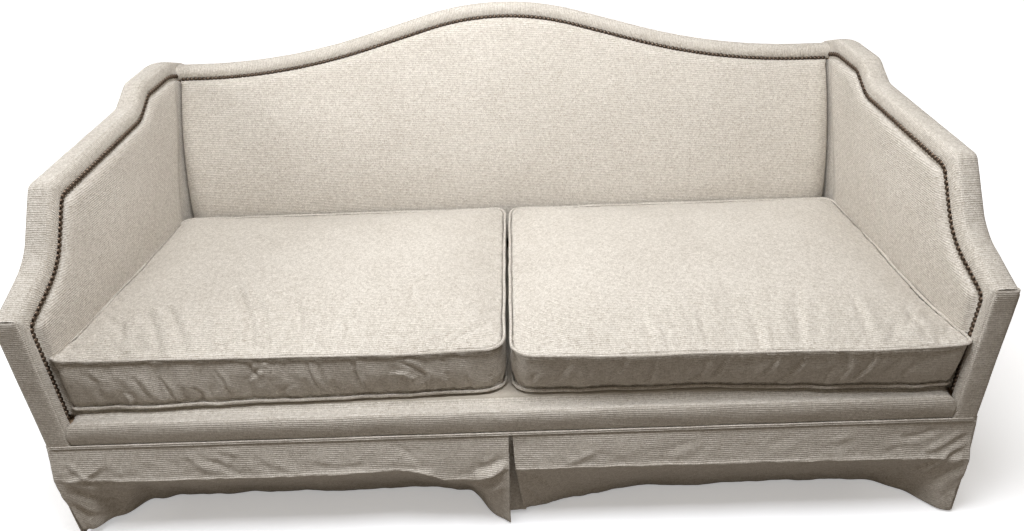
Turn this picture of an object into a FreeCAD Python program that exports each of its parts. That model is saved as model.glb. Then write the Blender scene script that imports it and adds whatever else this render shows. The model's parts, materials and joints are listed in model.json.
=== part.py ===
import FreeCAD, Part

import math
import os

from FreeCAD import Vector

# Camelback sofa: hardwood frame, sprung seat, tight back, two loose seat cushions and a skirt.
# Millimetres and degrees. X runs along the sofa, positive to the right of someone facing it.
# Y runs from the front to the back and Z is up. The sizes below are measured from the arm
# fronts (Y) and from the underside of the frame (rises); left and right are as seen from the
# front. The finished pieces are centred over the footprint, with the floor at Z = 0.

# Overall sizes
width = 2040.0
base_depth = 800.0
back_rake = 12.0
leg_height = 180.0

# Upholstered slabs round the frame
arm_thickness = 50.0
padding = 12.0
back_front_padding = 14.0

# Arm outline from front to back: the sweep and the knee are set back from the arm front, and the
# rest is placed from the foot of the back. Rises are above the frame's underside.
arm_front_rise = 421.0
sweep_setback = 131.0
sweep_rise = 483.0
sweep_radius = 150.0
knee_setback = 221.0
knee_rise = 620.0
knee_radius = 25.0
saddle_ahead = 188.0
saddle_rise = 662.0
saddle_radius = 50.0
shoulder_ahead = 115.0
shoulder_rise = 710.0
shoulder_radius = 60.0
crest_behind = 40.0
crest_rise = 724.0
crest_radius = 200.0
arm_rear_rise = 693.0

# Camel back outline, measured up the raked face
back_end_rise = 705.0
hump_flat = 324.0
hump_slope = 15.7
hump_radius = 817.0
hump_foot_radius = 1830.0

# Borders and nail trim
arm_border_width = 40.0
arm_front_border_width = 26.0
back_border_width = 42.0
least_corner_radius = 12.0
nail_width = 10.0
nail_height = 1.5

# Timber
rail_height = 124.0
rail_thickness = 30.0
back_timber = 32.0
post_width = 80.0
arm_rail_height = 60.0
back_rail_height = 90.0
lower_rail_rise = 165.0
lower_rail_height = 70.0
upright_width = 60.0
upright_spacing = 660.0
tack_rail_rise = 161.0
tack_rail_height = 50.0
stretcher_width = 60.0
stretcher_height = 40.0
stretcher_spacing = 560.0
corner_block_side = 70.0

# Legs and glides
leg_top = 60.0
leg_foot = 42.0
leg_setback = 100.0
leg_inset = 20.0
glide_radius = 14.0
glide_height = 5.0

# Suspension
spring_count = 8
spring_bends = 20
spring_wire = 4.0
spring_width = 48.0
clip_plate = 3.0
clip_width = 24.0
clip_reach = 24.0
insulator_thickness = 2.0
strap_width = 50.0
strap_thickness = 2.0
upright_strap_count = 8
cross_strap_count = 3

# Seat deck, inside arms and inside back
deck_thickness = 20.0
border_roll_radius = 18.0
arm_puff = 12.0
arm_puff_edge = 18.0
seat_depth = 700.0
back_puff = 16.0
back_puff_edge = 20.0
lumbar_rise = 340.0
lumbar_setback = 14.2
rim_share = 0.3
rim_swell_share = 0.6

# Loose cushions
cushion_front = 28.0
cushion_rear_gap = 10.0
cushion_edge_height = 134.0
cushion_crown = 30.0
cushion_corner_radius = 22.0
cushion_draw_in = 8.0
straight_by_corner = 60.0
cushion_side_gap = 2.0
cushion_middle_gap = 8.0
cover_thickness = 3.0
welt_size = 4.0
welt_seam_width = 0.5

# Cushion zips
zip_height = 24.0
zip_tape = 1.0
zip_margin = 60.0
zip_teeth_height = 4.0
zip_teeth = 1.5
slider_length = 12.0
slider_wall = 1.5
pull_length = 24.0
pull_width = 5.0

# Skirt
skirt_lap = 82.0
skirt_thickness = 3.0
skirt_welt_height = 8.0
skirt_welt_proud = 5.0
skirt_hem_clearance = 6.0
skirt_fold_drop = 80.0
skirt_fold_flare = 12.0
skirt_hem_flare = 16.0
skirt_tuck = 92.0
skirt_corner_run = 26.0
skirt_turn = 75.0
kick_pleat_gap = 8.0
kick_pleat_run = 50.0
kick_pleat_turn = 130.0
pleat_backing_width = 120.0
corner_backing_width = 18.0
dust_cover_thickness = 1.5

# Clearances
soft_gap = 0.3

back_thickness = padding + back_timber + back_front_padding
half_width = width / 2
half_inside = half_width - arm_thickness
rail_top = leg_height + rail_height
spring_base = rail_top + clip_plate
spring_top = spring_base + spring_wire
insulator_top = spring_top + insulator_thickness
deck_top = insulator_top + deck_thickness
rake = math.radians(back_rake)
far = 3000.0

arm_outer_timber = half_width - padding
arm_inner_timber = half_inside + padding
inside_arm_face = half_inside - arm_puff
back_timber_front = padding + back_timber
lumbar_depth = (base_depth + lumbar_rise * math.sin(rake) - seat_depth - lumbar_setback) / math.cos(rake)


def back_plane(height, forward):
    """Y of the raked plane that lies so far forward of the outside back, at this height."""
    return base_depth + (height - leg_height) * math.tan(rake) - forward / math.cos(rake)


# Outlines are closed lists of corners with a radius each, listed clockwise: up the front,
# back along the top and down the rear. Every piece of an arm or of the back is cut from them.

def unit(a, b):
    """Direction from corner a to corner b."""
    length = math.hypot(b[0] - a[0], b[1] - a[1])
    return ((b[0] - a[0]) / length, (b[1] - a[1]) / length)


def meet(p, u, q, v):
    """Point where the line through p along u crosses the line through q along v."""
    across = u[0] * v[1] - u[1] * v[0]
    along = ((q[0] - p[0]) * v[1] - (q[1] - p[1]) * v[0]) / across
    return (p[0] + u[0] * along, p[1] + u[1] * along)


def inset(outline, distances):
    """Move each side of an outline inwards by its own distance and refit the corner radii."""
    corners, radii = outline
    count = len(corners)
    sides = []
    for i in range(count):
        u = unit(corners[i], corners[(i + 1) % count])
        step = distances[i]
        start = (corners[i][0] + u[1] * step, corners[i][1] - u[0] * step)
        sides.append((start, u))
    moved = []
    refitted = []
    for i in range(count):
        before, after = sides[i - 1], sides[i]
        moved.append(meet(before[0], before[1], after[0], after[1]))
        turn = before[1][0] * after[1][1] - before[1][1] * after[1][0]
        step = max(distances[i - 1], distances[i])
        if radii[i] == 0:
            refitted.append(0.0)
        elif turn < 0:
            refitted.append(max(radii[i] - step, least_corner_radius))
        else:
            refitted.append(radii[i] + step)
    return moved, refitted


def outline_face(outline, place):
    """Flat face inside an outline of lines and tangent arcs; place puts a corner in space."""
    corners, radii = outline
    count = len(corners)
    joints = []
    for i in range(count):
        into = unit(corners[i - 1], corners[i])
        out = unit(corners[i], corners[(i + 1) % count])
        cosine = max(-1.0, min(1.0, into[0] * out[0] + into[1] * out[1]))
        half_turn = math.acos(cosine) / 2
        reach = radii[i] * math.tan(half_turn)
        start = (corners[i][0] - into[0] * reach, corners[i][1] - into[1] * reach)
        end = (corners[i][0] + out[0] * reach, corners[i][1] + out[1] * reach)
        inward = (out[0] - into[0], out[1] - into[1])
        size = math.hypot(inward[0], inward[1]) or 1.0
        rise = radii[i] * (1 / math.cos(half_turn) - 1)
        middle = (corners[i][0] + inward[0] / size * rise, corners[i][1] + inward[1] / size * rise)
        joints.append((start, middle, end))
    edges = []
    for i in range(count):
        start, middle, end = joints[i]
        if radii[i] > 0:
            edges.append(Part.Arc(place(start), place(middle), place(end)).toShape())
        following = joints[(i + 1) % count][0]
        edges.append(Part.LineSegment(place(end), place(following)).toShape())
    return Part.Face(Part.Wire(edges))


def block(x0, x1, y0, y1, z0, z1):
    """Box between two corners."""
    return Part.makeBox(x1 - x0, y1 - y0, z1 - z0, Vector(x0, y0, z0))


def mirrored(shape):
    """The same piece on the other side of the sofa."""
    return shape.mirror(Vector(0, 0, 0), Vector(1, 0, 0))


def ribbon(path, wide):
    """Flat face of constant width along a path that turns only square corners."""
    sides = []
    for side in (-wide / 2, wide / 2):
        edge = []
        for i in range(len(path)):
            into = unit(path[max(i - 1, 0)], path[max(i, 1)])
            out = unit(path[min(i, len(path) - 2)], path[min(i + 1, len(path) - 1)])
            before = (path[i][0] - into[1] * side, path[i][1] + into[0] * side)
            after = (path[i][0] - out[1] * side, path[i][1] + out[0] * side)
            ends = i == 0 or i == len(path) - 1
            edge.append(before if ends else meet(before, into, after, out))
        sides.append(edge)
    loop = sides[0] + sides[1][::-1]
    return Part.Face(Part.makePolygon([Vector(x, y, 0) for x, y in loop + loop[:1]]))


def skin(sections):
    """Solid through matching loops of points, with a crease across each twisted patch."""
    faces = [Part.Face(Part.makePolygon(loop + loop[:1])) for loop in (sections[0], sections[-1])]
    for near, other in zip(sections, sections[1:]):
        for i in range(len(near)):
            a, b = near[i], near[(i + 1) % len(near)]
            d, c = other[i], other[(i + 1) % len(near)]
            twist = abs((b - a).cross(d - a).dot(c - a))
            patches = ([a, b, c, d],) if twist < 1e-6 else ([a, b, c], [a, c, d])
            faces += [Part.Face(Part.makePolygon(patch + patch[:1])) for patch in patches]
    solid = Part.Solid(Part.Shell(faces))
    if solid.Volume < 0:
        solid.reverse()
    return solid


def smooth_stack(faces):
    """Solid through a stack of faces with matching corners."""
    return Part.makeLoft([face.OuterWire for face in faces], True, True)


# Arm outline in the YZ plane
arm_corners = [
    (0.0, leg_height),
    (0.0, leg_height + arm_front_rise),
    (sweep_setback, leg_height + sweep_rise),
    (knee_setback, leg_height + knee_rise),
    (base_depth - saddle_ahead, leg_height + saddle_rise),
    (base_depth - shoulder_ahead, leg_height + shoulder_rise),
    (base_depth + crest_behind, leg_height + crest_rise),
    (back_plane(leg_height + arm_rear_rise, 0.0), leg_height + arm_rear_rise),
    (base_depth, leg_height),
]
arm_radii = [0.0, 0.0, sweep_radius, knee_radius, saddle_radius, shoulder_radius, crest_radius, 0.0, 0.0]
arm_outline = (arm_corners, arm_radii)
arm_top_sides = 6


def arm_sides(front, top, rear, bottom):
    """Inset distances for the sides of the arm outline, in the outline's order."""
    return [front] + [top] * arm_top_sides + [rear, bottom]


def arm_slab(front, top, rear, bottom, x0, x1):
    """Flat piece of the right arm between two distances from the middle of the sofa."""
    shape = inset(arm_outline, arm_sides(front, top, rear, bottom))
    face = outline_face(shape, lambda c: Vector(x0, c[0], c[1]))
    return face.extrude(Vector(x1 - x0, 0, 0))


# Camel outline in the plane of the outside back, with room below to trim level
half_back = half_inside
hump_foot = half_back - hump_flat
hump_rise = back_end_rise + hump_foot * math.tan(math.radians(hump_slope))
back_drop = back_thickness
back_corners = [
    (-half_back, -back_drop),
    (-half_back, back_end_rise),
    (-hump_foot, back_end_rise),
    (0.0, hump_rise),
    (hump_foot, back_end_rise),
    (half_back, back_end_rise),
    (half_back, -back_drop),
]
back_radii = [0.0, 0.0, hump_foot_radius, hump_radius, hump_foot_radius, 0.0, 0.0]
back_outline = (back_corners, back_radii)
back_top_sides = 4
hump_top = hump_rise - hump_radius * (1 / math.cos(math.radians(hump_slope)) - 1)


def back_sides(end, top, bottom):
    """Inset distances for the sides of the camel outline, in the outline's order."""
    return [end] + [top] * back_top_sides + [end, bottom]


def raked(shape):
    """Lean a piece made upright against Y = 0 back to the rake of the outside back."""
    leaned = shape.copy()
    leaned.rotate(Vector(0, 0, 0), Vector(1, 0, 0), -back_rake)
    leaned.translate(Vector(0, base_depth, leg_height))
    return leaned


def back_slab(end, top, bottom, forward0, forward1):
    """Flat piece of the back between two distances forward of its outside face."""
    shape = inset(back_outline, back_sides(end, top, bottom))
    face = outline_face(shape, lambda c: Vector(c[0], -forward1, c[1]))
    return raked(face.extrude(Vector(0, forward1 - forward0, 0)))


def between_heights(shape, low, high):
    """Part of a piece between two levels."""
    return shape.common(block(-far, far, -far, far, low, high))


def behind_back(forward):
    """All the space behind the raked plane that lies so far forward of the outside back."""
    return raked(block(-far, far, -forward, far, -far, far))


# Timber frame

def front_seat_rail():
    return block(-arm_inner_timber, arm_inner_timber, padding, padding + rail_thickness, leg_height, rail_top)


def rear_seat_rail():
    board = raked(block(-half_back, half_back, -back_timber_front, -padding, -far / 2, far / 2))
    return between_heights(board, leg_height, rail_top)


def back_post():
    post = arm_slab(0, padding, padding, 0, half_inside, arm_outer_timber)
    return post.common(behind_back(back_thickness))


def front_post():
    post = arm_slab(padding, padding, padding, 0, arm_inner_timber, arm_outer_timber)
    reach = block(0, far, 0, padding + post_width, 0, far)
    return post.common(reach)


def between_posts(shape):
    """Part of an arm piece between the front post and the back post."""
    behind_front_post = block(0, far, padding + post_width, far, 0, far)
    return shape.common(behind_front_post).cut(behind_back(back_thickness))


def arm_top_rail():
    outer = arm_slab(padding, padding, padding, 0, arm_inner_timber, arm_outer_timber)
    inner = arm_slab(-padding, padding + arm_rail_height, -padding, -padding, arm_inner_timber, arm_outer_timber)
    return between_posts(outer.cut(inner))


def arm_cross_rail(low, high):
    """Level board between the two posts of an arm."""
    return between_posts(block(arm_inner_timber, arm_outer_timber, 0, far, low, high))


def back_top_rail():
    outer = back_slab(0, padding, 0, padding, back_timber_front)
    inner = back_slab(-padding, padding + back_rail_height, -padding, padding, back_timber_front)
    return outer.cut(inner)


def back_lower_rail():
    top = lower_rail_rise + lower_rail_height
    return raked(block(-half_back, half_back, -back_timber_front, -padding, lower_rail_rise, top))


def back_uprights():
    inner = back_slab(0, padding + back_rail_height, 0, padding, back_timber_front)
    low = lower_rail_rise + lower_rail_height
    uprights = []
    for side in (-1, 1):
        middle = side * upright_spacing / 2
        x0, x1 = middle - upright_width / 2, middle + upright_width / 2
        uprights.append(inner.common(raked(block(x0, x1, -far, far, low, far))))
    return Part.makeCompound(uprights)


def seat_stretchers():
    board_rear = behind_back(back_timber_front)
    boards = []
    for place in (-1, 0, 1):
        middle = place * stretcher_spacing
        x0, x1 = middle - stretcher_width / 2, middle + stretcher_width / 2
        board = block(x0, x1, padding + rail_thickness, far, leg_height, leg_height + stretcher_height)
        boards.append(board.cut(board_rear))
    return Part.makeCompound(boards)


def corner_block(rear):
    """Triangular glue block in the right-hand corner of the seat frame."""
    side = corner_block_side
    if rear:
        corner_y = back_plane(rail_top, back_timber_front)
        direction = -1
    else:
        corner_y = padding + rail_thickness
        direction = 1
    inner_x = arm_inner_timber
    points = [(inner_x, corner_y), (inner_x - side, corner_y), (inner_x, corner_y + direction * side)]
    edges = []
    for i in range(3):
        a, b = points[i], points[(i + 1) % 3]
        edges.append(Part.LineSegment(Vector(a[0], a[1], leg_height), Vector(b[0], b[1], leg_height)).toShape())
    prism = Part.Face(Part.Wire(edges)).extrude(Vector(0, 0, rail_height))
    if rear:
        prism = prism.cut(behind_back(back_timber_front))
        prism = prism.cut(behind_back(back_thickness).common(block(half_inside, far, -far, far, 0, far)))
    return prism


def corner_blocks():
    right = [corner_block(False), corner_block(True)]
    return Part.makeCompound(right + [mirrored(piece) for piece in right])


# Legs, centred under the frame's corners and under the middle stretcher

leg_x = half_width - padding - leg_inset - leg_top / 2
front_leg_y = leg_setback + leg_top / 2
rear_leg_y = base_depth - leg_setback - leg_top / 2


def leg(x, y):
    """Square tapered leg on its glide."""
    sections = []
    for size, z in ((leg_foot, glide_height), (leg_top, leg_height)):
        half = size / 2
        corners = [(-half, -half), (half, -half), (half, half), (-half, half)]
        sections.append([Vector(x + cx, y + cy, z) for cx, cy in corners])
    return skin(sections)


def glides():
    pads = []
    for x in (-leg_x, 0.0, leg_x):
        for y in (front_leg_y, rear_leg_y):
            pads.append(Part.makeCylinder(glide_radius, glide_height, Vector(x, y, 0)))
    return Part.makeCompound(pads)


# Springs, webbing and seat deck

spring_pitch = 2 * half_inside / spring_count
front_hook_y = padding + rail_thickness - clip_reach + clip_plate
rear_hook_y = back_plane(spring_base, back_timber_front) + clip_reach - clip_plate


def seat_springs():
    """Zigzag wires hooked from the front rail to the rear rail."""
    step = (rear_hook_y - front_hook_y - spring_wire) / (spring_bends - 1)
    reach = (spring_width - spring_wire) / 2
    springs = []
    for n in range(spring_count):
        middle = -half_inside + (n + 0.5) * spring_pitch
        path = []
        for bend in range(spring_bends):
            y = front_hook_y + spring_wire / 2 + bend * step
            side = -1 if bend % 2 else 1
            path += [(middle - side * reach, y), (middle + side * reach, y)]
        wire = ribbon(path, spring_wire).extrude(Vector(0, 0, spring_wire))
        wire.translate(Vector(0, 0, spring_base))
        springs.append(wire)
    return Part.makeCompound(springs)


def spring_clips():
    """Bent metal clips that hold the spring ends on the two rails."""
    clips = []
    for n in range(spring_count):
        middle = -half_inside + (n + 0.5) * spring_pitch
        x0, x1 = middle - clip_width / 2, middle + clip_width / 2
        for rear in (False, True):
            if rear:
                heel, lip = rear_hook_y, -1
            else:
                heel, lip = front_hook_y, 1
            back = heel - lip * clip_plate
            toe = back + lip * clip_reach
            curl = heel + lip * 2 * spring_wire
            y0, y1 = sorted((back, toe))
            base = block(x0, x1, y0, y1, rail_top, spring_base)
            y0, y1 = sorted((back, heel))
            wall = block(x0, x1, y0, y1, rail_top, insulator_top)
            y0, y1 = sorted((back, curl))
            hook = block(x0, x1, y0, y1, spring_top, insulator_top)
            clips.append(base.fuse(wall).fuse(hook).removeSplitter())
    return Part.makeCompound(clips)


def back_webbing():
    """Upright straps on the back frame with level straps laid over them."""
    straps = []
    face = back_timber_front
    held = back_slab(0, back_border_width + nail_width / 2, 0, face, face + strap_thickness)
    low = lower_rail_rise + lower_rail_height / 2
    pitch = 2 * half_back / upright_strap_count
    for n in range(upright_strap_count):
        middle = -half_back + (n + 0.5) * pitch
        x0, x1 = middle - strap_width / 2, middle + strap_width / 2
        straps.append(held.common(raked(block(x0, x1, -far, far, low, far))))
    high = back_end_rise - padding - back_rail_height
    step = (high - lower_rail_rise - lower_rail_height) / (cross_strap_count + 1)
    for n in range(cross_strap_count):
        v = lower_rail_rise + lower_rail_height + (n + 1) * step
        y0, y1 = -face - 2 * strap_thickness, -face - strap_thickness
        straps.append(raked(block(-half_back, half_back, y0, y1, v - strap_width / 2, v + strap_width / 2)))
    return Part.makeCompound(straps)


deck_half = half_inside - soft_gap
pad_face = back_timber_front + 2 * strap_thickness


def seat_insulator():
    sheet = block(-deck_half, deck_half, padding + rail_thickness, far, spring_top, insulator_top)
    return sheet.cut(behind_back(pad_face))


def deck_pad():
    return block(-deck_half, deck_half, padding + rail_thickness, seat_depth - soft_gap, insulator_top, deck_top)


def front_border():
    """Padded band over the front rail that rolls back over its top edge."""
    band = block(-half_inside, half_inside, 0, padding + rail_thickness, leg_height, deck_top)
    band = band.cut(block(-far, far, padding, far, 0, insulator_top))
    edges = []
    for edge in band.Edges:
        start, end = edge.Vertexes[0].Point, edge.Vertexes[-1].Point
        level = abs(start.z - deck_top) < 1e-6 and abs(end.z - deck_top) < 1e-6
        if level and abs(start.y) < 1e-6 and abs(end.y) < 1e-6:
            edges.append(edge)
    return band.makeFillet(min(border_roll_radius, deck_thickness - 1), edges)


# Arm upholstery

def arm_front():
    """Narrow panel that closes the front of the arm."""
    slab = arm_slab(0, 0, 0, 0, half_inside, half_width)
    return slab.common(block(0, far, 0, padding, 0, far))


def outside_arm():
    return arm_slab(padding, 0, 0, 0, arm_outer_timber, half_width)


nail_inner = arm_border_width + nail_width / 2
nail_outer = arm_border_width - nail_width / 2
front_nail_inner = arm_front_border_width + nail_width / 2
front_nail_outer = arm_front_border_width - nail_width / 2


def arm_border():
    """Padded band over the top and the rear of the arm and down its inner edge to the nails."""
    over_top = arm_slab(padding, 0, 0, 0, half_inside, arm_outer_timber)
    over_top = over_top.cut(arm_slab(0, padding, padding, -padding, half_inside, arm_outer_timber))
    inner_band = arm_slab(padding, padding, back_thickness, rail_height, half_inside, arm_inner_timber)
    cut_out = arm_slab(front_nail_inner, nail_inner, 0, 0, half_inside, arm_inner_timber)
    return over_top.fuse(inner_band.cut(cut_out)).removeSplitter()


def inside_arm():
    """Panel between the nail trim and the seat, swelling inwards from a rolled rim."""
    seat_gap = deck_top - leg_height
    steps = ((0.0, -padding), (0.0, 0.0), (arm_puff_edge * rim_share, arm_puff * rim_swell_share),
             (arm_puff_edge, arm_puff))
    faces = []
    for rim, swell in steps:
        distances = arm_sides(front_nail_inner + rim, nail_inner + rim, back_thickness, seat_gap)
        shape = inset(arm_outline, distances)
        x = half_inside - swell
        faces.append(outline_face(shape, lambda c: Vector(x, c[0], c[1])))
    return smooth_stack(faces)


def arm_nail_trim():
    """Band of nail heads along the seam, from the back corner over the knee and down the front."""
    low = deck_top - leg_height
    x0 = half_inside - nail_height
    outer = arm_slab(front_nail_outer, nail_outer, back_thickness, low, x0, half_inside)
    inner = arm_slab(front_nail_inner, nail_inner, 0, 0, x0, half_inside)
    return outer.cut(inner)


# Back upholstery

back_nail_inner = back_border_width + nail_width / 2
back_nail_outer = back_border_width - nail_width / 2


def outside_back():
    return between_heights(back_slab(0, 0, 0, 0, padding), leg_height, far)


def back_border():
    """Padded band over the camel top and down its front to the nails."""
    over_top = back_slab(0, 0, 0, padding, back_timber_front)
    over_top = over_top.cut(back_slab(-padding, padding, -padding, padding, back_timber_front))
    front_band = back_slab(0, 0, 0, back_timber_front, back_thickness)
    front_band = front_band.cut(back_slab(-padding, back_nail_inner, -padding, back_timber_front, back_thickness))
    return over_top.fuse(front_band).removeSplitter()


def back_nail_trim():
    """Band of nail heads under the camel top, from one inside arm to the other."""
    face = back_thickness
    end = arm_puff + soft_gap
    outer = back_slab(end, back_nail_outer, 0, face, face + nail_height)
    inner = back_slab(-padding, back_nail_inner, -padding, face, face + nail_height)
    return outer.cut(inner)


def inside_back():
    """Tight back: swells from the nail trim and leans forward to the seat."""
    end = arm_puff + soft_gap
    rims = ((0.0, pad_face), (0.0, back_thickness),
            (back_puff_edge * rim_share, back_thickness + back_puff * rim_swell_share),
            (back_puff_edge, back_thickness + back_puff))
    faces = []
    for rim, forward in rims:
        shape = inset(back_outline, back_sides(end, back_nail_inner + rim, 0))
        faces.append(outline_face(shape, lambda c: Vector(c[0], -forward, c[1])))
    belly = []
    for corner in faces[-1].OuterWire.OrderedVertexes:
        x, v = corner.Point.x, corner.Point.z
        belly.append(Vector(x, -lumbar_depth, lumbar_rise if v > 0 else v))
    belly.append(belly[0])
    wires = [face.OuterWire for face in faces]
    swell = Part.makeLoft(wires, True, True)
    lean = Part.makeLoft([wires[-1], Part.makePolygon(belly)], True, True)
    pad = raked(swell.fuse(lean))
    return pad.common(block(-far, far, seat_depth, far, insulator_top, far)).removeSplitter()


# Loose cushions, made for the right-hand seat and mirrored for the left

cushion_x0 = cushion_middle_gap / 2 + welt_size
cushion_x1 = inside_arm_face - cushion_side_gap - welt_size
cushion_y0 = cushion_front + welt_size
cushion_y1 = seat_depth - cushion_rear_gap - welt_size
cushion_base = deck_top + soft_gap
cushion_edge = cushion_base + cushion_edge_height


def cushion_plan():
    """Plan of the cushion with its front and ends drawn in; the rear, with the zip, is straight."""
    x0, x1, y0, y1 = cushion_x0, cushion_x1, cushion_y0, cushion_y1
    draw, corner = cushion_draw_in, cushion_corner_radius
    half_x, half_y = (x1 - x0) / 2, (y1 - y0) / 2
    bows = []
    for half_side in (half_x, half_y):
        reach = half_side - corner - straight_by_corner
        bows.append(reach / math.tan(math.atan(draw / half_side)))
    front_bow, end_bow = bows
    corners = [(x0, y0), (x0 + draw, y0 + half_y), (x0, y1), (x1, y1), (x1 - draw, y0 + half_y), (x1, y0),
               (x0 + half_x, y0 + draw)]
    return corners, [corner, end_bow, corner, corner, end_bow, corner, front_bow]


def cushion_prism(shrink, z0, z1):
    """Upright block on the cushion's plan, smaller all round by the amount given."""
    plan = inset(cushion_plan(), [shrink] * 7)
    return outline_face(plan, lambda c: Vector(c[0], c[1], z0)).extrude(Vector(0, 0, z1 - z0))


def crown_profile(side0, side1, z0, z1, place):
    """Flat bottom, upright sides and a top that rises in one arc to the crown."""
    a, b = place(side0, z0), place(side0, z1)
    top, c = place((side0 + side1) / 2, z1 + cushion_crown), place(side1, z1)
    d = place(side1, z0)
    edges = [Part.LineSegment(a, b).toShape(), Part.Arc(b, top, c).toShape(),
             Part.LineSegment(c, d).toShape(), Part.LineSegment(d, a).toShape()]
    return Part.Face(Part.Wire(edges))


def cushion_form(shell):
    """Cushion crowned along and across, smaller all round by the shell thickness given."""
    z0, z1 = cushion_base + shell, cushion_edge - shell
    form = cushion_prism(shell, z0, z1 + 2 * cushion_crown)
    along = crown_profile(cushion_x0, cushion_x1, z0, z1, lambda side, z: Vector(side, 0, z))
    across = crown_profile(cushion_y0, cushion_y1, z0, z1, lambda side, z: Vector(0, side, z))
    form = form.common(along.extrude(Vector(0, far, 0)))
    return form.common(across.extrude(Vector(far, 0, 0)))


def cushion_cover():
    return cushion_form(0.0).cut(cushion_form(cover_thickness))


def cushion_foam():
    return cushion_form(cover_thickness + soft_gap)


def welt_ring(seam):
    """Piped cord round the cushion at one seam, flattened where it meets the cover."""
    half = welt_size
    steps = ((welt_seam_width, -half), (welt_size, -half / 2), (welt_size, half / 2), (welt_seam_width, half))
    faces = []
    for out, z in steps:
        plan = inset(cushion_plan(), [-out] * 7)
        faces.append(outline_face(plan, lambda c: Vector(c[0], c[1], seam + z)))
    return smooth_stack(faces).cut(cushion_prism(-soft_gap, seam - half, seam + half))


def cushion_welts():
    return Part.makeCompound([welt_ring(cushion_base + welt_size), welt_ring(cushion_edge - welt_size)])


zip_x0 = cushion_x0 + zip_margin
zip_x1 = cushion_x1 - zip_margin
zip_z = cushion_base + cushion_edge_height / 2
zip_y = cushion_y1 + soft_gap


def cushion_zip():
    """Tape and closed teeth along the rear of the cushion."""
    tape = block(zip_x0, zip_x1, zip_y, zip_y + zip_tape, zip_z - zip_height / 2, zip_z + zip_height / 2)
    low, high = zip_z - zip_teeth_height / 2, zip_z + zip_teeth_height / 2
    teeth = block(zip_x0, zip_x1, zip_y + zip_tape, zip_y + zip_tape + zip_teeth, low, high)
    return tape.fuse(teeth).removeSplitter()


def zip_slider():
    """Slider that straddles the teeth, with its pull hanging down."""
    y0 = zip_y + zip_tape + soft_gap
    y1 = zip_y + zip_tape + zip_teeth + soft_gap + slider_wall
    half = zip_teeth_height / 2 + soft_gap + slider_wall
    body = block(zip_x1 - slider_length, zip_x1, y0, y1, zip_z - half, zip_z + half)
    groove = zip_teeth_height / 2 + soft_gap
    body = body.cut(block(-far, far, -far, y1 - slider_wall, zip_z - groove, zip_z + groove))
    middle = zip_x1 - slider_length / 2
    pull = block(middle - pull_width / 2, middle + pull_width / 2, y1 - slider_wall, y1,
                 zip_z - half - pull_length, zip_z)
    return body.fuse(pull).removeSplitter()


# Skirt, hung from a welt round the frame

skirt_top = leg_height + skirt_lap
skirt_fold = skirt_top - skirt_fold_drop
skirt_rear = back_plane(skirt_top + skirt_welt_height, 0.0)


def skirt_welt():
    rear = skirt_rear + skirt_welt_proud
    side = half_width + skirt_welt_proud
    z1 = skirt_top + skirt_welt_height
    ring = block(-side, side, -skirt_welt_proud, rear, skirt_top, z1)
    return ring.cut(block(-half_width, half_width, 0, skirt_rear, 0, far))


def skirt_section(x, hem):
    """Section of the front skirt: out to the fold, then down or tucked under to the hem."""
    t = skirt_thickness
    fold_y, hem_z = -skirt_fold_flare, skirt_hem_clearance
    points = [(-t, skirt_top), (fold_y - t, skirt_fold), (hem - t, hem_z), (hem, hem_z), (fold_y, skirt_fold),
              (0.0, skirt_top)]
    return [Vector(x, y, z) for y, z in points]


def front_skirt():
    """Right-hand front skirt: straight at the corner and the kick pleat, tucked under between."""
    straight = -skirt_hem_flare
    inner, outer = kick_pleat_gap / 2, half_width
    stations = (
        (inner, straight),
        (inner + kick_pleat_run, straight),
        (inner + kick_pleat_run + kick_pleat_turn, skirt_tuck),
        (outer - skirt_corner_run - skirt_turn, skirt_tuck),
        (outer - skirt_corner_run, straight),
        (outer, straight),
    )
    return skin([skirt_section(x, hem) for x, hem in stations])


def side_skirt():
    """Right-hand side skirt, flaring out a little to the hem."""
    t = skirt_thickness
    x, flare, z0 = half_width, skirt_hem_flare, skirt_hem_clearance
    points = [(x, skirt_top), (x + t, skirt_top), (x + flare, z0), (x + flare - t, z0), (x, skirt_top)]
    wire = Part.makePolygon([Vector(px, 0, pz) for px, pz in points])
    return Part.Face(wire).extrude(Vector(0, skirt_rear, 0))


def back_skirt():
    rear = skirt_rear + skirt_thickness
    return block(-half_width, half_width, skirt_rear, rear, skirt_hem_clearance, skirt_top)


def pleat_backings():
    """Flat cloths behind the kick pleat and in the four corners, hung from the frame."""
    z0, t = skirt_hem_clearance, skirt_thickness
    half = pleat_backing_width / 2
    pieces = [block(-half, half, t, 2 * t, z0, leg_height)]
    outer, w = half_width - t, corner_backing_width
    for y0, y1 in ((t, t + w), (base_depth - t - w, base_depth - t)):
        along = block(outer - t, outer, y0, y1, z0, leg_height)
        wall_y = y0 if y0 == t else y1 - t
        across = block(outer - w, outer, wall_y, wall_y + t, z0, leg_height)
        corner = along.fuse(across).removeSplitter()
        pieces.append(corner)
        pieces.append(mirrored(corner))
    return Part.makeCompound(pieces)


def dust_cover():
    """Thin cloth under the frame, cut round the legs."""
    low = leg_height - dust_cover_thickness
    sheet = block(-arm_outer_timber, arm_outer_timber, 2 * padding, base_depth - padding, low, leg_height)
    half = leg_top / 2 + soft_gap
    for x in (-leg_x, 0.0, leg_x):
        for y in (front_leg_y, rear_leg_y):
            sheet = sheet.cut(block(x - half, x + half, y - half, y + half, 0, far))
    return sheet


# Every named piece

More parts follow.
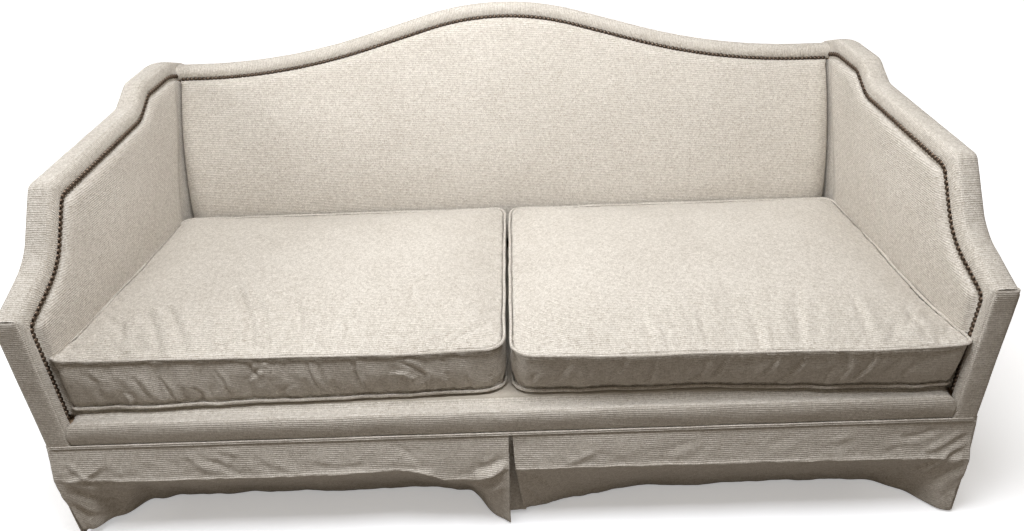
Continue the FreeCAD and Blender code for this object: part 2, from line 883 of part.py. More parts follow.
right_pieces = {
    "front_post": front_post(),
    "back_post": back_post(),
    "arm_top_rail": arm_top_rail(),
    "arm_border": arm_border(),
    "inside_arm": inside_arm(),
    "outside_arm": outside_arm(),
    "arm_front": arm_front(),
    "arm_nail_trim": arm_nail_trim(),
    "side_skirt": side_skirt(),
    "front_skirt": front_skirt(),
    "front_leg": leg(leg_x, front_leg_y),
    "rear_leg": leg(leg_x, rear_leg_y),
    "cushion_cover": cushion_cover(),
    "cushion_foam": cushion_foam(),
    "cushion_welts": cushion_welts(),
    "cushion_zip": cushion_zip(),
    "zip_slider": zip_slider(),
}

side_rail = arm_cross_rail(leg_height, rail_top)
tack_low = leg_height + tack_rail_rise
tack_rail = arm_cross_rail(tack_low, tack_low + tack_rail_height)

pieces = {
    "front_seat_rail": front_seat_rail(),
    "rear_seat_rail": rear_seat_rail(),
    "side_seat_rails": Part.makeCompound([side_rail, mirrored(side_rail)]),
    "arm_tack_rails": Part.makeCompound([tack_rail, mirrored(tack_rail)]),
    "seat_stretchers": seat_stretchers(),
    "corner_blocks": corner_blocks(),
    "back_top_rail": back_top_rail(),
    "back_lower_rail": back_lower_rail(),
    "back_uprights": back_uprights(),
    "centre_legs": Part.makeCompound([leg(0.0, front_leg_y), leg(0.0, rear_leg_y)]),
    "glides": glides(),
    "seat_springs": seat_springs(),
    "spring_clips": spring_clips(),
    "back_webbing": back_webbing(),
    "seat_insulator": seat_insulator(),
    "deck_pad": deck_pad(),
    "front_border": front_border(),
    "back_border": back_border(),
    "inside_back": inside_back(),
    "outside_back": outside_back(),
    "back_nail_trim": back_nail_trim(),
    "skirt_welt": skirt_welt(),
    "back_skirt": back_skirt(),
    "pleat_backings": pleat_backings(),
    "dust_cover": dust_cover(),
}
for name, piece in right_pieces.items():
    pieces["right_" + name] = piece
    pieces["left_" + name] = mirrored(piece)

# The origin is the middle of the space that the sofa takes up, on the floor
front_reach = max(skirt_fold_flare + skirt_thickness, skirt_hem_flare + skirt_thickness, skirt_welt_proud)
rear_reach = base_depth + hump_top * math.sin(rake)
to_middle = Vector(0, (front_reach - rear_reach) / 2, 0)

os.makedirs("parts", exist_ok=True)
for name, piece in pieces.items():
    placed = piece.copy()
    placed.translate(to_middle)
    if not placed.isValid():
        raise ValueError(name + " is not a valid solid")
    placed.exportStep("parts/" + name + ".step")
    box = placed.BoundBox
    print("%-22s %3d solids  volume %12.0f  x %8.1f %8.1f  y %8.1f %8.1f  z %7.1f %7.1f" % (
        name, len(placed.Solids), placed.Volume, box.XMin, box.XMax, box.YMin, box.YMax, box.ZMin, box.ZMax))
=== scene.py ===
"""Camelback sofa with loose seat cushions: cloth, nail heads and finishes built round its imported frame."""

import json
import math
import random

import bmesh
import bpy
import numpy as np
from bpy.props import FloatProperty, FloatVectorProperty, IntProperty, PointerProperty
from mathutils import Matrix, Vector, kdtree, noise


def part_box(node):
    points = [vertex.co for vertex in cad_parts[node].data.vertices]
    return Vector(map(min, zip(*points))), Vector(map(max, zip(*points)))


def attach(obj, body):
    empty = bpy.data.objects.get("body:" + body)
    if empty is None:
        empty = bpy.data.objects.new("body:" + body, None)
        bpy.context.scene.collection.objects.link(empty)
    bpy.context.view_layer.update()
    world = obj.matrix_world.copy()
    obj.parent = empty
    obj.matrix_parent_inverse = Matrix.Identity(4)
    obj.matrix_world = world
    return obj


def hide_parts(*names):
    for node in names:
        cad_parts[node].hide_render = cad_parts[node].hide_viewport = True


bl_info = {
    "name": "Camelback Sofa",
    "version": (1, 0, 0),
    "blender": (4, 5, 0),
    "location": "3D View > Sidebar > Sofa",
    "description": "Covers a camelback sofa frame with cloth, piping, nail heads and cushions",
    "category": "Add Mesh",
}

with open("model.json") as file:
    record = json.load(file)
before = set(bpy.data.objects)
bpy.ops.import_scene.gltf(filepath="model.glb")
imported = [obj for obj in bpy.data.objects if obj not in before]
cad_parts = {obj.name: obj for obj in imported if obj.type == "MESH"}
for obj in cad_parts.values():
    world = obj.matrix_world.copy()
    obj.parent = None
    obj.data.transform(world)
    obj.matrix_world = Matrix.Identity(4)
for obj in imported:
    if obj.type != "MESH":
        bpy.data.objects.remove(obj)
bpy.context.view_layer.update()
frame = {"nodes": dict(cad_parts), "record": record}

# Places taken from the frame
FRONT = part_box("right_arm_front")[0].y
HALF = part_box("right_outside_arm")[1].x
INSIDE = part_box("right_arm_border")[0].x
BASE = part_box("front_border")[0].z
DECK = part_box("deck_pad")[1].z
SEAT_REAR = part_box("deck_pad")[1].y
ARM_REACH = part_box("right_inside_arm")[0].x
SKIRT_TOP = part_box("right_front_skirt")[1].z
SKIRT_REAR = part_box("back_skirt")[0].y

# Sizes repeated from the frame's source, in metres from the arm fronts and the frame's underside
DEPTH = 0.800
RAKE = math.radians(12.0)
BACK_THICK = 0.058
ARM_TOP = [(0.0, 0.421), (0.131, 0.483), (0.221, 0.620), (0.612, 0.662), (0.685, 0.710), (0.840, 0.724),
           (DEPTH + 0.693 * math.tan(RAKE), 0.693)]
ARM_BENDS = [0.150, 0.025, 0.050, 0.060, 0.200]
CAMEL_FOOT, CAMEL_END = 0.646, 0.705
CAMEL_PEAK = CAMEL_END + CAMEL_FOOT * math.tan(math.radians(15.7))
CAMEL_BENDS = [1.830, 0.817, 1.830]
NAIL_LINE, FRONT_NAIL_LINE, BACK_NAIL_LINE = 0.040, 0.026, 0.042

# Measures of the cloth work, in metres
PANEL_INSET = 0.003
NAIL_STAND = 0.0014
SKIRT_CORD = 0.0046
SKIRT_CLOTH, LINING_CLOTH = 0.0022, 0.0008
SKIRT_OUT, SKIRT_FLARE, HEM_HEIGHT = 0.0015, 0.0180, 0.006
STRAP_WIDTH = 0.05
CUSHION_END, CUSHION_EDGE, CUSHION_CROWN, INNER_GAP = 0.954, 0.1300, 0.031, 0.0030
GROOVE_DEPTH, GROOVE_PLACE, GROOVE_WIDTH = 0.0034, 0.007, 0.0045
CREASE_SHARE = 0.85
# Where the inside back meets the arm: heights over the floor and places along the depth
MEETING_HEIGHTS = [0.30, 0.50, 0.546, 0.841, 1.0]
MEETING_PLACES = [0.2206, 0.2206, 0.2348, 0.3855, 0.4650]
# The arm's nails stop where they reach the back, this far behind the arm front
LAST_ARM_NAIL = 0.8835

THREADS = "Threads"


class SofaSizes(bpy.types.PropertyGroup):
    """Sizes of the cloth work that can be changed."""

    border_swell: FloatProperty(
        name="Border swell",
        description="How far the padded borders stand out from the timber line",
        default=0.0045, min=0, max=0.02, unit="LENGTH")
    panel_edge: FloatProperty(
        name="Panel edge",
        description="Width over which a tight panel rolls up from its nail line",
        default=0.024, min=0.005, max=0.06, unit="LENGTH")
    nail_pitch: FloatProperty(
        name="Nail pitch",
        description="Distance from one nail head to the next",
        default=0.0122, min=0.008, max=0.05, unit="LENGTH")
    nail_head: FloatProperty(
        name="Nail head",
        description="Diameter of a nail head",
        default=0.0130, min=0.006, max=0.03, unit="LENGTH")
    piping: FloatProperty(
        name="Piping",
        description="Diameter of the piping on the cushions",
        default=0.0072, min=0.003, max=0.012, unit="LENGTH")
    rib_pitch: FloatProperty(
        name="Rib pitch",
        description="Distance between the ribs of the cover cloth",
        default=0.0048, min=0.001, max=0.02, unit="LENGTH")
    simulated_frames: IntProperty(
        name="Simulated frames",
        description="Steps of the cloth simulation of the cushions",
        default=20, min=2, max=60)


class SofaColours(bpy.types.PropertyGroup):
    """Colours of the finishes that can be changed."""

    cloth_light: FloatVectorProperty(
        name="Cloth ridge",
        description="Colour of the ribs of the cover cloth",
        subtype="COLOR", size=3, default=(0.72, 0.675, 0.60), min=0, max=1)
    # The valley colour is partly the darker yarns' own tone and partly painted shade between the ribs.
    cloth_dark_and_valley_shade: FloatVectorProperty(
        name="Cloth dark yarn and valley shade",
        description="Colour between the ribs of the cover cloth",
        subtype="COLOR", size=3, default=(0.36, 0.315, 0.255), min=0, max=1)
    bronze: FloatVectorProperty(
        name="Nail bronze",
        description="Colour of the nail heads",
        subtype="COLOR", size=3, default=(0.085, 0.062, 0.045), min=0, max=1)
    hardwood: FloatVectorProperty(
        name="Frame timber",
        description="Colour of the sawn frame timber",
        subtype="COLOR", size=3, default=(0.56, 0.40, 0.25), min=0, max=1)
    stained_wood: FloatVectorProperty(
        name="Leg stain",
        description="Colour of the stained legs",
        subtype="COLOR", size=3, default=(0.085, 0.042, 0.022), min=0, max=1)


# Finishes

class Figure:
    """A number that varies over a surface. Sums written on it become Math nodes."""

    def __init__(self, finish, socket):
        self.finish, self.socket = finish, socket

    def __add__(self, other):
        return self.finish.maths("ADD", self, other)

    __radd__ = __add__

    def __sub__(self, other):
        return self.finish.maths("SUBTRACT", self, other)

    def __rsub__(self, other):
        return self.finish.maths("SUBTRACT", other, self)

    def __mul__(self, other):
        return self.finish.maths("MULTIPLY", self, other)

    __rmul__ = __mul__

    def __truediv__(self, other):
        return self.finish.maths("DIVIDE", self, other)


class Nodes:
    """A node tree and the ways to add to it."""

    def __init__(self, tree):
        self.tree = tree
        tree.nodes.clear()

    def node(self, kind, settings=None, sockets=None):
        """Any node: its settings first, then the values or links of its sockets."""
        made = self.tree.nodes.new("ShaderNode" + kind)
        for key, value in (settings or {}).items():
            setattr(made, key, value)
        for key, value in (sockets or {}).items():
            value = value.socket if isinstance(value, Figure) else value
            if isinstance(value, bpy.types.NodeSocket):
                self.tree.links.new(value, made.inputs[key])
            elif value is not None:
                if made.inputs[key].type == "RGBA" and len(value) == 3:
                    value = (*value, 1.0)
                made.inputs[key].default_value = value
        return made

    def maths(self, operation, *values):
        """A sum of values or figures."""
        made = self.node("Math", {"operation": operation}, dict(enumerate(values)))
        return Figure(self, made.outputs[0])


class Finish(Nodes):
    """One material and the nodes that make its pattern."""

    def __init__(self, name, **constants):
        self.material = bpy.data.materials.new(name)
        self.material.use_nodes = True
        super().__init__(self.material.node_tree)
        constants = {key.replace("_", " "): value for key, value in constants.items()}
        self.shader = self.node("BsdfPrincipled", sockets=constants)
        self.node("OutputMaterial", sockets={"Surface": self.shader.outputs[0]})

    def place(self, source):
        """The three coordinates of a place: Object, or the threads of the cloth."""
        if source == THREADS:
            out = self.node("UVMap", {"uv_map": THREADS}).outputs[0]
        else:
            out = self.node("TexCoord").outputs[source]
        parts = self.node("SeparateXYZ", sockets={0: out})
        return [Figure(self, socket) for socket in parts.outputs]

    def at(self, x, y, z=0.0):
        return self.node("CombineXYZ", sockets={0: x, 1: y, 2: z}).outputs[0]

    def cloud(self, vector, detail=2.0, roughness=0.5, scale=1.0):
        sockets = {"Vector": vector, "Scale": scale, "Detail": detail, "Roughness": roughness}
        made = self.node("TexNoise", sockets=sockets)
        return Figure(self, made.outputs[0])

    def between(self, low, high, share):
        """A colour between two, by share."""
        made = self.node("Mix", {"data_type": "RGBA", "clamp_factor": True}, {0: share, 6: low, 7: high})
        return made.outputs[2]

    def raise_by(self, height, distance, strength=1.0):
        made = self.node("Bump", sockets={"Height": height, "Distance": distance, "Strength": strength})
        self.tree.links.new(made.outputs[0], self.shader.inputs["Normal"])

    def set(self, socket, value):
        value = value.socket if isinstance(value, Figure) else value
        self.tree.links.new(value, self.shader.inputs[socket])


def chenille_finish(sizes, colours):
    """Ribbed cover cloth with thick and thin yarns and a short soft nap, with painted shade between the ribs and
    painted shading of the nap's lay.
    """
    cloth = Finish("Oatmeal chenille", Roughness=0.92, Specular_IOR_Level=0.15, Sheen_Weight=0.15,
                   Sheen_Roughness=0.5)
    u, v, _ = cloth.place(THREADS)
    drift = cloth.cloud(cloth.at(u * 7.0, v * 7.0), 2.0)
    row = (v + (drift - 0.5) * 0.004) / sizes.rib_pitch
    ridge = cloth.maths("SINE", row * (2 * math.pi)) * 0.5 + 0.5
    yarn = cloth.cloud(cloth.at(u * 110.0, cloth.maths("FLOOR", row) * 5.37), 2.0, 0.6)
    tuft = cloth.cloud(cloth.at(u * 330.0, v * 420.0), 2.0, 0.65)
    fuzz = cloth.cloud(cloth.at(u * 900.0, v * 1100.0, 4.0), 1.0, 0.6)
    # Large soft lighter and darker patches: painted sheen and shade of the pile's lay.
    lay = cloth.cloud(cloth.at(u * 4.0, v * 5.0, 3.0), 3.0, 0.55)
    # The ridge term paints shade into the valleys between the ribs; yarn, tuft and fuzz give the yarns' own tone.
    share = 0.52 + (ridge - 0.5) * 0.40 + (yarn - 0.5) * 1.3 + (tuft - 0.5) * 1.9
    share = share + (fuzz - 0.5) * 0.8 + (lay - 0.5) * 0.3
    cloth.set("Base Color", cloth.between(tuple(colours.cloth_dark_and_valley_shade), tuple(colours.cloth_light), share))
    cloth.raise_by(ridge * 0.42 + tuft * 0.8 + yarn * 0.4 + fuzz * 0.25, 0.0016, 0.9)
    return cloth.material


def plain_cloth_finish(name, light, dark, thread, source=THREADS):
    """Plain weave of one thread over, one under."""
    cloth = Finish(name, Roughness=0.9, Specular_IOR_Level=0.2)
    u, v, w = cloth.place(source)
    v = v if source == THREADS else w
    over = cloth.maths("SINE", u * (2 * math.pi / thread)) * cloth.maths("SINE", v * (2 * math.pi / thread))
    slub = cloth.cloud(cloth.at(u * 90.0, v * 900.0), 2.0) + cloth.cloud(cloth.at(u * 900.0, v * 90.0, 7.0), 2.0)
    age = cloth.cloud(cloth.at(u * 3.0, v * 3.0, 5.0), 3.0)
    cloth.set("Base Color", cloth.between(dark, light, over * 0.22 + (slub - 1.0) * 0.9 + (age - 0.5) * 0.4 + 0.55))
    cloth.raise_by(over * 0.5 + slub * 0.4, 0.0004, 0.6)
    return cloth.material


def timber_finish(name, colour, gloss, along, figure):
    """Timber with rings and pores that run along one axis."""
    wood = Finish(name, Specular_IOR_Level=0.4, Coat_Weight=gloss)
    places = wood.place("Object")
    stretched = [place * (2.2 if axis == along else 26.0) for axis, place in enumerate(places)]
    warp = wood.cloud(wood.at(*stretched), 3.0)
    depth = stretched[(along + 1) % 3] + stretched[(along + 2) % 3] * 0.6 + warp * 5.0
    rings = wood.maths("SINE", depth * 2.4) * 0.5 + 0.5
    fine = [place * (9.0 if axis == along else 420.0) for axis, place in enumerate(places)]
    pores = wood.cloud(wood.at(*fine), 2.0, 0.7)
    dark = tuple(c * (1 - figure) for c in colour)
    light = tuple(min(1.0, c * (1 + figure * 0.45)) for c in colour)
    wood.set("Base Color", wood.between(dark, light, rings * 0.55 + pores * 0.7 - 0.08))
    wood.set("Roughness", 0.42 + pores * 0.3 if gloss else 0.62 + pores * 0.3)
    wood.raise_by(rings * 0.25 + pores, 0.0003, 0.5)
    return wood.material


def metal_finish(name, colour, roughness, wear):
    """Metal with small scratches and darker worn patches."""
    metal = Finish(name, Metallic=1.0)
    x, y, z = metal.place("Object")
    stain = metal.cloud(metal.at(x * 160.0, y * 160.0, z * 160.0), 3.0, 0.6)
    scratch = metal.cloud(metal.at(x * 1400.0, y * 500.0, z * 1400.0), 2.0)
    dark = tuple(c * (1 - wear) for c in colour)
    light = tuple(min(1.0, c * (1 + wear)) for c in colour)
    metal.set("Base Color", metal.between(dark, light, stain * 1.6 - 0.3))
    metal.set("Roughness", stain * 0.3 + (roughness - 0.15))
    metal.raise_by(scratch * 0.4 + stain, 0.00012, 0.4)
    return metal.material


def moulded_finish(name, colour, roughness):
    """Moulded plastic with a fine spark texture."""
    plastic = Finish(name, Specular_IOR_Level=0.4)
    x, y, z = plastic.place("Object")
    grain = plastic.cloud(plastic.at(x * 1500.0, y * 1500.0, z * 1500.0), 2.0)
    scuff = plastic.cloud(plastic.at(x * 60.0, y * 60.0, z * 60.0), 3.0)
    dark, light = tuple(c * 0.75 for c in colour), tuple(c * 1.3 for c in colour)
    plastic.set("Base Color", plastic.between(dark, light, scuff))
    plastic.set("Roughness", grain * 0.15 + roughness)
    plastic.raise_by(grain, 0.0001, 0.4)
    return plastic.material


def foam_finish(name, colour):
    """Open-cell foam."""
    foam = Finish(name, Roughness=0.95, Specular_IOR_Level=0.1)
    x, y, z = foam.place("Object")
    cell = foam.node("TexVoronoi", sockets={"Vector": foam.at(x, y, z), "Scale": 420.0})
    depth = Figure(foam, cell.outputs["Distance"])
    foam.set("Base Color", foam.between(tuple(c * 0.7 for c in colour), colour, depth * 2.2))
    foam.raise_by(depth, 0.0008, 0.6)
    return foam.material


FINISHES = {}


def make_finishes(sizes, colours):
    FINISHES.update({
        "upholstery_fabric": chenille_finish(sizes, colours),
        "deck_cloth": plain_cloth_finish("Deck cloth", (0.60, 0.55, 0.47), (0.40, 0.35, 0.28), 0.0022),
        "hessian": plain_cloth_finish("Hessian", (0.50, 0.38, 0.23), (0.24, 0.17, 0.09), 0.0036),
        "webbing": plain_cloth_finish("Jute webbing", (0.42, 0.31, 0.19), (0.20, 0.14, 0.08), 0.0030),
        "dust_cloth": plain_cloth_finish("Dust cloth", (0.035, 0.035, 0.036), (0.012, 0.012, 0.012), 0.0012),
        "zip_tape": plain_cloth_finish("Zip tape", (0.60, 0.54, 0.44), (0.42, 0.36, 0.28), 0.0010, source="Object"),
        "frame_timber": timber_finish("Sawn hardwood", tuple(colours.hardwood), 0.0, 0, 0.30),
        "post_timber": timber_finish("Sawn hardwood upright", tuple(colours.hardwood), 0.0, 2, 0.30),
        "leg_wood": timber_finish("Stained leg", tuple(colours.stained_wood), 0.3, 2, 0.45),
        "glide_plastic": moulded_finish("Glide nylon", (0.09, 0.09, 0.088), 0.45),
        "spring_steel": metal_finish("Spring wire", (0.40, 0.40, 0.41), 0.38, 0.35),
        "clip_metal": metal_finish("Zinc clip", (0.62, 0.62, 0.60), 0.42, 0.2),
        "nail_bronze": metal_finish("Antique bronze", tuple(colours.bronze), 0.36, 0.6),
        "zip_metal": metal_finish("Antique brass", (0.30, 0.22, 0.12), 0.38, 0.4),
        "foam": foam_finish("Cushion foam", (0.80, 0.74, 0.56)),
    })


# Lines: outlines of straight sides and round bends, cut alike at every inset

def unit(a, b):
    """Direction from one point to another."""
    length = math.hypot(b[0] - a[0], b[1] - a[1])
    return (b[0] - a[0]) / length, (b[1] - a[1]) / length


def turn_between(into, out):
    """Angle from one direction to the next, positive to the left."""
    return math.atan2(into[0] * out[1] - into[1] * out[0], into[0] * out[0] + into[1] * out[1])


def drawn_in(corners, bends, distances):
    """Corners and bends of an open outline with each side moved inwards by its distance."""
    sides = []
    for (a, b), step in zip(zip(corners, corners[1:]), distances):
        u = unit(a, b)
        sides.append(((a[0] + u[1] * step, a[1] - u[0] * step), (b[0] + u[1] * step, b[1] - u[0] * step), u))
    moved, refitted = [sides[0][0]], []
    for (p, _, u), (q, _, w), bend, near, far in zip(sides, sides[1:], bends, distances, distances[1:]):
        across = u[0] * w[1] - u[1] * w[0]
        along = ((q[0] - p[0]) * w[1] - (q[1] - p[1]) * w[0]) / across
        moved.append((p[0] + u[0] * along, p[1] + u[1] * along))
        step = max(near, far)
        refitted.append(max(bend - step, min(bend, 0.012) + 0.6 * step) if across < 0 else bend + step)
    moved.append(sides[-1][1])
    return moved, refitted


def cut_line(corners, bends, parts):
    """Points along an outline. parts gives how many steps each side and each bend has."""
    points = []
    last = corners[0]
    for i in range(1, len(corners)):
        into = unit(corners[i - 1], corners[i])
        at_end = i == len(corners) - 1
        start = corners[i]
        if not at_end:
            angle = turn_between(into, unit(corners[i], corners[i + 1]))
            radius = bends[i - 1]
            reach = radius * math.tan(abs(angle) / 2)
            start = (corners[i][0] - into[0] * reach, corners[i][1] - into[1] * reach)
            side = 1 if angle > 0 else -1
            centre = (start[0] - into[1] * radius * side, start[1] + into[0] * radius * side)
        steps = parts[2 * (i - 1)]
        for k in range(steps):
            points.append((last[0] + (start[0] - last[0]) * k / steps, last[1] + (start[1] - last[1]) * k / steps))
        if at_end:
            points.append(start)
            break
        steps = parts[2 * (i - 1) + 1]
        dx, dy = start[0] - centre[0], start[1] - centre[1]
        for k in range(steps):
            c, s = math.cos(angle * k / steps), math.sin(angle * k / steps)
            points.append((centre[0] + dx * c - dy * s, centre[1] + dx * s + dy * c))
        c, s = math.cos(angle), math.sin(angle)
        last = (centre[0] + dx * c - dy * s, centre[1] + dx * s + dy * c)
    return np.array(points)


def parts_of(corners, bends, step):
    """Steps for each side and bend so that none is longer than step on the outline itself."""
    parts = []
    for i in range(1, len(corners)):
        a, b = corners[i - 1], corners[i]
        parts.append(max(2, math.ceil(math.hypot(b[0] - a[0], b[1] - a[1]) / step)))
        if i < len(corners) - 1:
            angle = abs(turn_between(unit(a, b), unit(b, corners[i + 1])))
            parts.append(max(4, math.ceil(angle * max(bends[i - 1], 0.02) / (0.6 * step))))
    return parts


def spaced(line, pitch):
    """Points one pitch apart along a line."""
    steps = np.linalg.norm(np.diff(line, axis=0), axis=1)
    run = np.concatenate([[0], np.cumsum(steps)])
    count = max(2, round(run[-1] / pitch))
    at = (np.arange(count) + 0.5) * run[-1] / count
    return np.stack([np.interp(at, run, line[:, k]) for k in range(line.shape[1])], 1)


def distance_to(u, v, line):
    """Distance in the plane from each place (u, v) to a line of short steps."""
    points = np.stack([u.ravel(), v.ravel()], 1)
    best = np.full(len(points), 1e9)
    for a, b in zip(line, line[1:]):
        ab = b - a
        t = np.clip(((points - a) @ ab) / max(ab @ ab, 1e-12), 0, 1)
        best = np.minimum(best, np.linalg.norm(points - a - t[:, None] * ab, axis=1))
    return best.reshape(u.shape)


def rise(share):
    """Quarter round from 0 to 1."""
    t = np.clip(share, 0, 1)
    return np.sqrt(np.clip(1 - (1 - t) ** 2, 0, 1))


def ease(share):
    """Smooth step from 0 to 1."""
    t = np.clip(share, 0, 1)
    return t * t * (3 - 2 * t)


def ruffle(x, y, seed, size):
    """Smooth unevenness of about plus or minus one, over features of this size."""
    flat_x, flat_y = np.asarray(x, float).ravel(), np.asarray(y, float).ravel()
    out = [noise.noise(Vector((a / size, b / size, seed * 7.31))) for a, b in zip(flat_x, flat_y)]
    return np.array(out).reshape(np.shape(x)) * 1.6


# Making pieces

def patch(grid, wound=False):
    """A bmesh of one cloth surface whose corners lie on a grid of places."""
    rows, columns = grid.shape[0] - 1, grid.shape[1] - 1
    shape = bmesh.new()
    bmesh.ops.create_grid(shape, x_segments=columns, y_segments=rows, size=0.5)
    column, row = shape.verts.layers.int.new("column"), shape.verts.layers.int.new("row")
    for corner in shape.verts:
        corner[column], corner[row] = round((corner.co.x + 0.5) * columns), round((corner.co.y + 0.5) * rows)
        corner.co = grid[corner[row], corner[column]]
    if wound:
        bmesh.ops.reverse_faces(shape, faces=shape.faces)
    return shape


def strip_threads(shape, grid):
    """Threads that follow a strip: across it and along it."""
    layer = shape.loops.layers.uv.new(THREADS)
    column, row = shape.verts.layers.int["column"], shape.verts.layers.int["row"]
    along = np.concatenate([[0], np.cumsum(np.linalg.norm(np.diff(grid, axis=1), axis=2).mean(0))])
    across = np.concatenate([[0], np.cumsum(np.linalg.norm(np.diff(grid, axis=0), axis=2).mean(1))])
    for face in shape.faces:
        for loop in face.loops:
            loop[layer].uv = (across[loop.vert[row]], along[loop.vert[column]])


def level_threads(shape):
    """Threads that run level on every face, as on cloth cut for a horizontal rib."""
    layer = shape.loops.layers.uv.get(THREADS) or shape.loops.layers.uv.new(THREADS)
    for face in shape.faces:
        nx, ny, nz = (abs(n) for n in face.normal)
        for loop in face.loops:
            x, y, z = loop.vert.co
            if nz > 0.72:
                loop[layer].uv = (x, y)
            elif ny >= nx:
                loop[layer].uv = (x, z)
            else:
                loop[layer].uv = (y, z)


def piece(name, shape, body, slot, replaces=(), threads=True, levels=0, finish=None):
    """A finished object from a bmesh: threads, finish, the body it rides on and what it stands for."""
    if threads:
        shape.normal_update()
        level_threads(shape)
    mesh = bpy.data.meshes.new(name)
    shape.to_mesh(mesh)
    shape.free()
    mesh.polygons.foreach_set("use_smooth", [True] * len(mesh.polygons))
    mesh.materials.append(FINISHES[finish or slot])
    made = bpy.data.objects.new(name, mesh)
    bpy.context.scene.collection.objects.link(made)
    if levels:
        finer = made.modifiers.new("Finer", "SUBSURF")
        finer.levels = finer.render_levels = levels
    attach(made, body)
    if replaces:
        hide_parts(*replaces)
    return made


def thickened(made, thickness):
    """Give a sheet its thickness, half to each side."""
    wall = made.modifiers.new("Cloth thickness", "SOLIDIFY")
    wall.thickness, wall.offset = thickness, 0.0


def hem_back(shape, move):
    """Turn the open rim of a panel back, away from sight."""
    rim = [edge for edge in shape.edges if edge.is_boundary]
    made = bmesh.ops.extrude_edge_only(shape, edges=rim)["geom"]
    for corner in (g for g in made if isinstance(g, bmesh.types.BMVert)):
        corner.co = corner.co + Vector(move)


def joined(shapes):
    """Several bmeshes as one."""
    whole = bmesh.new()
    for shape in shapes:
        mesh = bpy.data.meshes.new("part")
        shape.to_mesh(mesh)
        shape.free()
        whole.from_mesh(mesh)
        bpy.data.meshes.remove(mesh)
    return whole


def piping(name, lines, diameter, body, replaces):
    """Round closed cords in the cover cloth, each along its line of points."""
    curve = bpy.data.curves.new(name, "CURVE")
    curve.dimensions = "3D"
    for line in lines:
        spline = curve.splines.new("POLY")
        spline.points.add(len(line) - 1)
        for point, place in zip(spline.points, line):
            point.co = (*place, 1.0)
        spline.use_cyclic_u = True
    curve.bevel_depth = diameter / 2
    curve.bevel_resolution = 2
    cord = bpy.data.objects.new(name + "_line", curve)
    bpy.context.scene.collection.objects.link(cord)
    bpy.context.view_layer.update()
    mesh = bpy.data.meshes.new_from_object(cord.evaluated_get(bpy.context.evaluated_depsgraph_get()))
    shape = bmesh.new()
    shape.from_mesh(mesh)
    bpy.data.objects.remove(cord)
    bpy.data.curves.remove(curve)
    bpy.data.meshes.remove(mesh)
    while shape.loops.layers.uv:
        shape.loops.layers.uv.remove(shape.loops.layers.uv[0])
    bmesh.ops.remove_doubles(shape, verts=shape.verts, dist=1e-6)
    return piece(name, shape, body, "upholstery_fabric", replaces)


# Arms

def side_of(side):
    return "right" if side > 0 else "left"


def arm_world(side, x, line):
    """Places on an arm: distance out from the middle, and the outline's points."""
    x = np.broadcast_to(np.asarray(x, float), (len(line),))
    return np.stack([side * x, line[:, 0] + FRONT, line[:, 1] + BASE], 1)


def arm_line(front, top, step=0.008, down=0.0, rear=None):
    """The arm's top outline at an inset, with the front edge below it when down is given."""
    corners, bends = list(ARM_TOP), list(ARM_BENDS)
    distances = [top] * (len(corners) - 1)
    if down:
        corners = [(0.0, down)] + corners
        bends = [0.004] + bends
        distances = [front] + distances
    if rear is not None:
        corners.append((DEPTH + (SKIRT_TOP - BASE) * math.tan(RAKE), SKIRT_TOP - BASE))
        bends = bends + [0.010]
        distances = distances + [rear]
    parts = parts_of(corners, bends, step)
    moved, refitted = drawn_in(corners, bends, distances)
    return cut_line(moved, refitted, parts)


def arm_border(side, sizes):
    """Strip over the top and the rear of the arm, and the padded strip inside it down to the nails."""
    swell = sizes.border_swell
    seed = 3 if side > 0 else 8
    over = [(0.0050, 0.0012), (0.0018, 0.0014), (-0.0008, 0.0034), (-0.0019, 0.012), (-0.0024, 0.022),
            (-0.0021, 0.032), (-0.0008, 0.040), (0.0014, 0.0455), (0.0046, 0.0488), (0.0088, 0.0500),
            (0.0125, 0.0496), (0.0136, 0.0480)]
    grid = np.array([arm_world(side, INSIDE + out, arm_line(0.0, inset, rear=inset)) for inset, out in over])
    uneven = ruffle(grid[..., 1] + grid[..., 2], grid[..., 0] * 3, seed, 0.05)
    grid[..., 2] += uneven * 0.0006
    top = patch(grid, wound=side > 0)
    strip_threads(top, grid)
    inner = [(0.050, -0.0040), (0.058, -0.0012), (0.075, 0.08), (0.14, 0.50), (0.28, 0.86), (0.48, 1.0),
             (0.68, 0.92), (0.82, 0.62), (0.90, 0.22), (0.96, -0.02), (1.06, -0.5)]
    rows = []
    for share, out in inner:
        line = arm_line(FRONT_NAIL_LINE * share, NAIL_LINE * share, down=SKIRT_TOP - BASE - 0.004)
        lift = swell * out if abs(out) > 0.01 else out
        fade = 1 - ease((line[:, 0] - 0.84) / 0.03)
        rows.append(arm_world(side, INSIDE - lift * np.where(lift > 0, fade, 1.0), line))
    grid = np.array(rows)
    pucker = ruffle(grid[..., 1], grid[..., 2], seed + 1, 0.016)
    grid[..., 0] += side * pucker * 0.0006 * np.sin(np.linspace(0, math.pi, len(inner)))[:, None]
    inside = patch(grid, wound=side < 0)
    strip_threads(inside, grid)
    name = side_of(side) + "_arm_border"
    made = piece(name + "_cloth", joined([top, inside]), "sofa", "upholstery_fabric", [name], threads=False, levels=1)
    return made


def arm_region(line, low, rows, crowd, rear_slope=0.0):
    """Grid between a level bottom edge and an outline, with its rows crowded towards the outline."""
    t = np.linspace(0, 1, rows + 1)
    t = 1 - (1 - t) ** crowd
    top_y, top_z = line[:, 0], line[:, 1]
    low_y = top_y - (top_z - low) * rear_slope * (top_y - top_y[0]) / (top_y[-1] - top_y[0])
    y = low_y[None, :] + (top_y - low_y)[None, :] * t[:, None]
    z = low + (top_z - low)[None, :] * t[:, None]
    return y, z


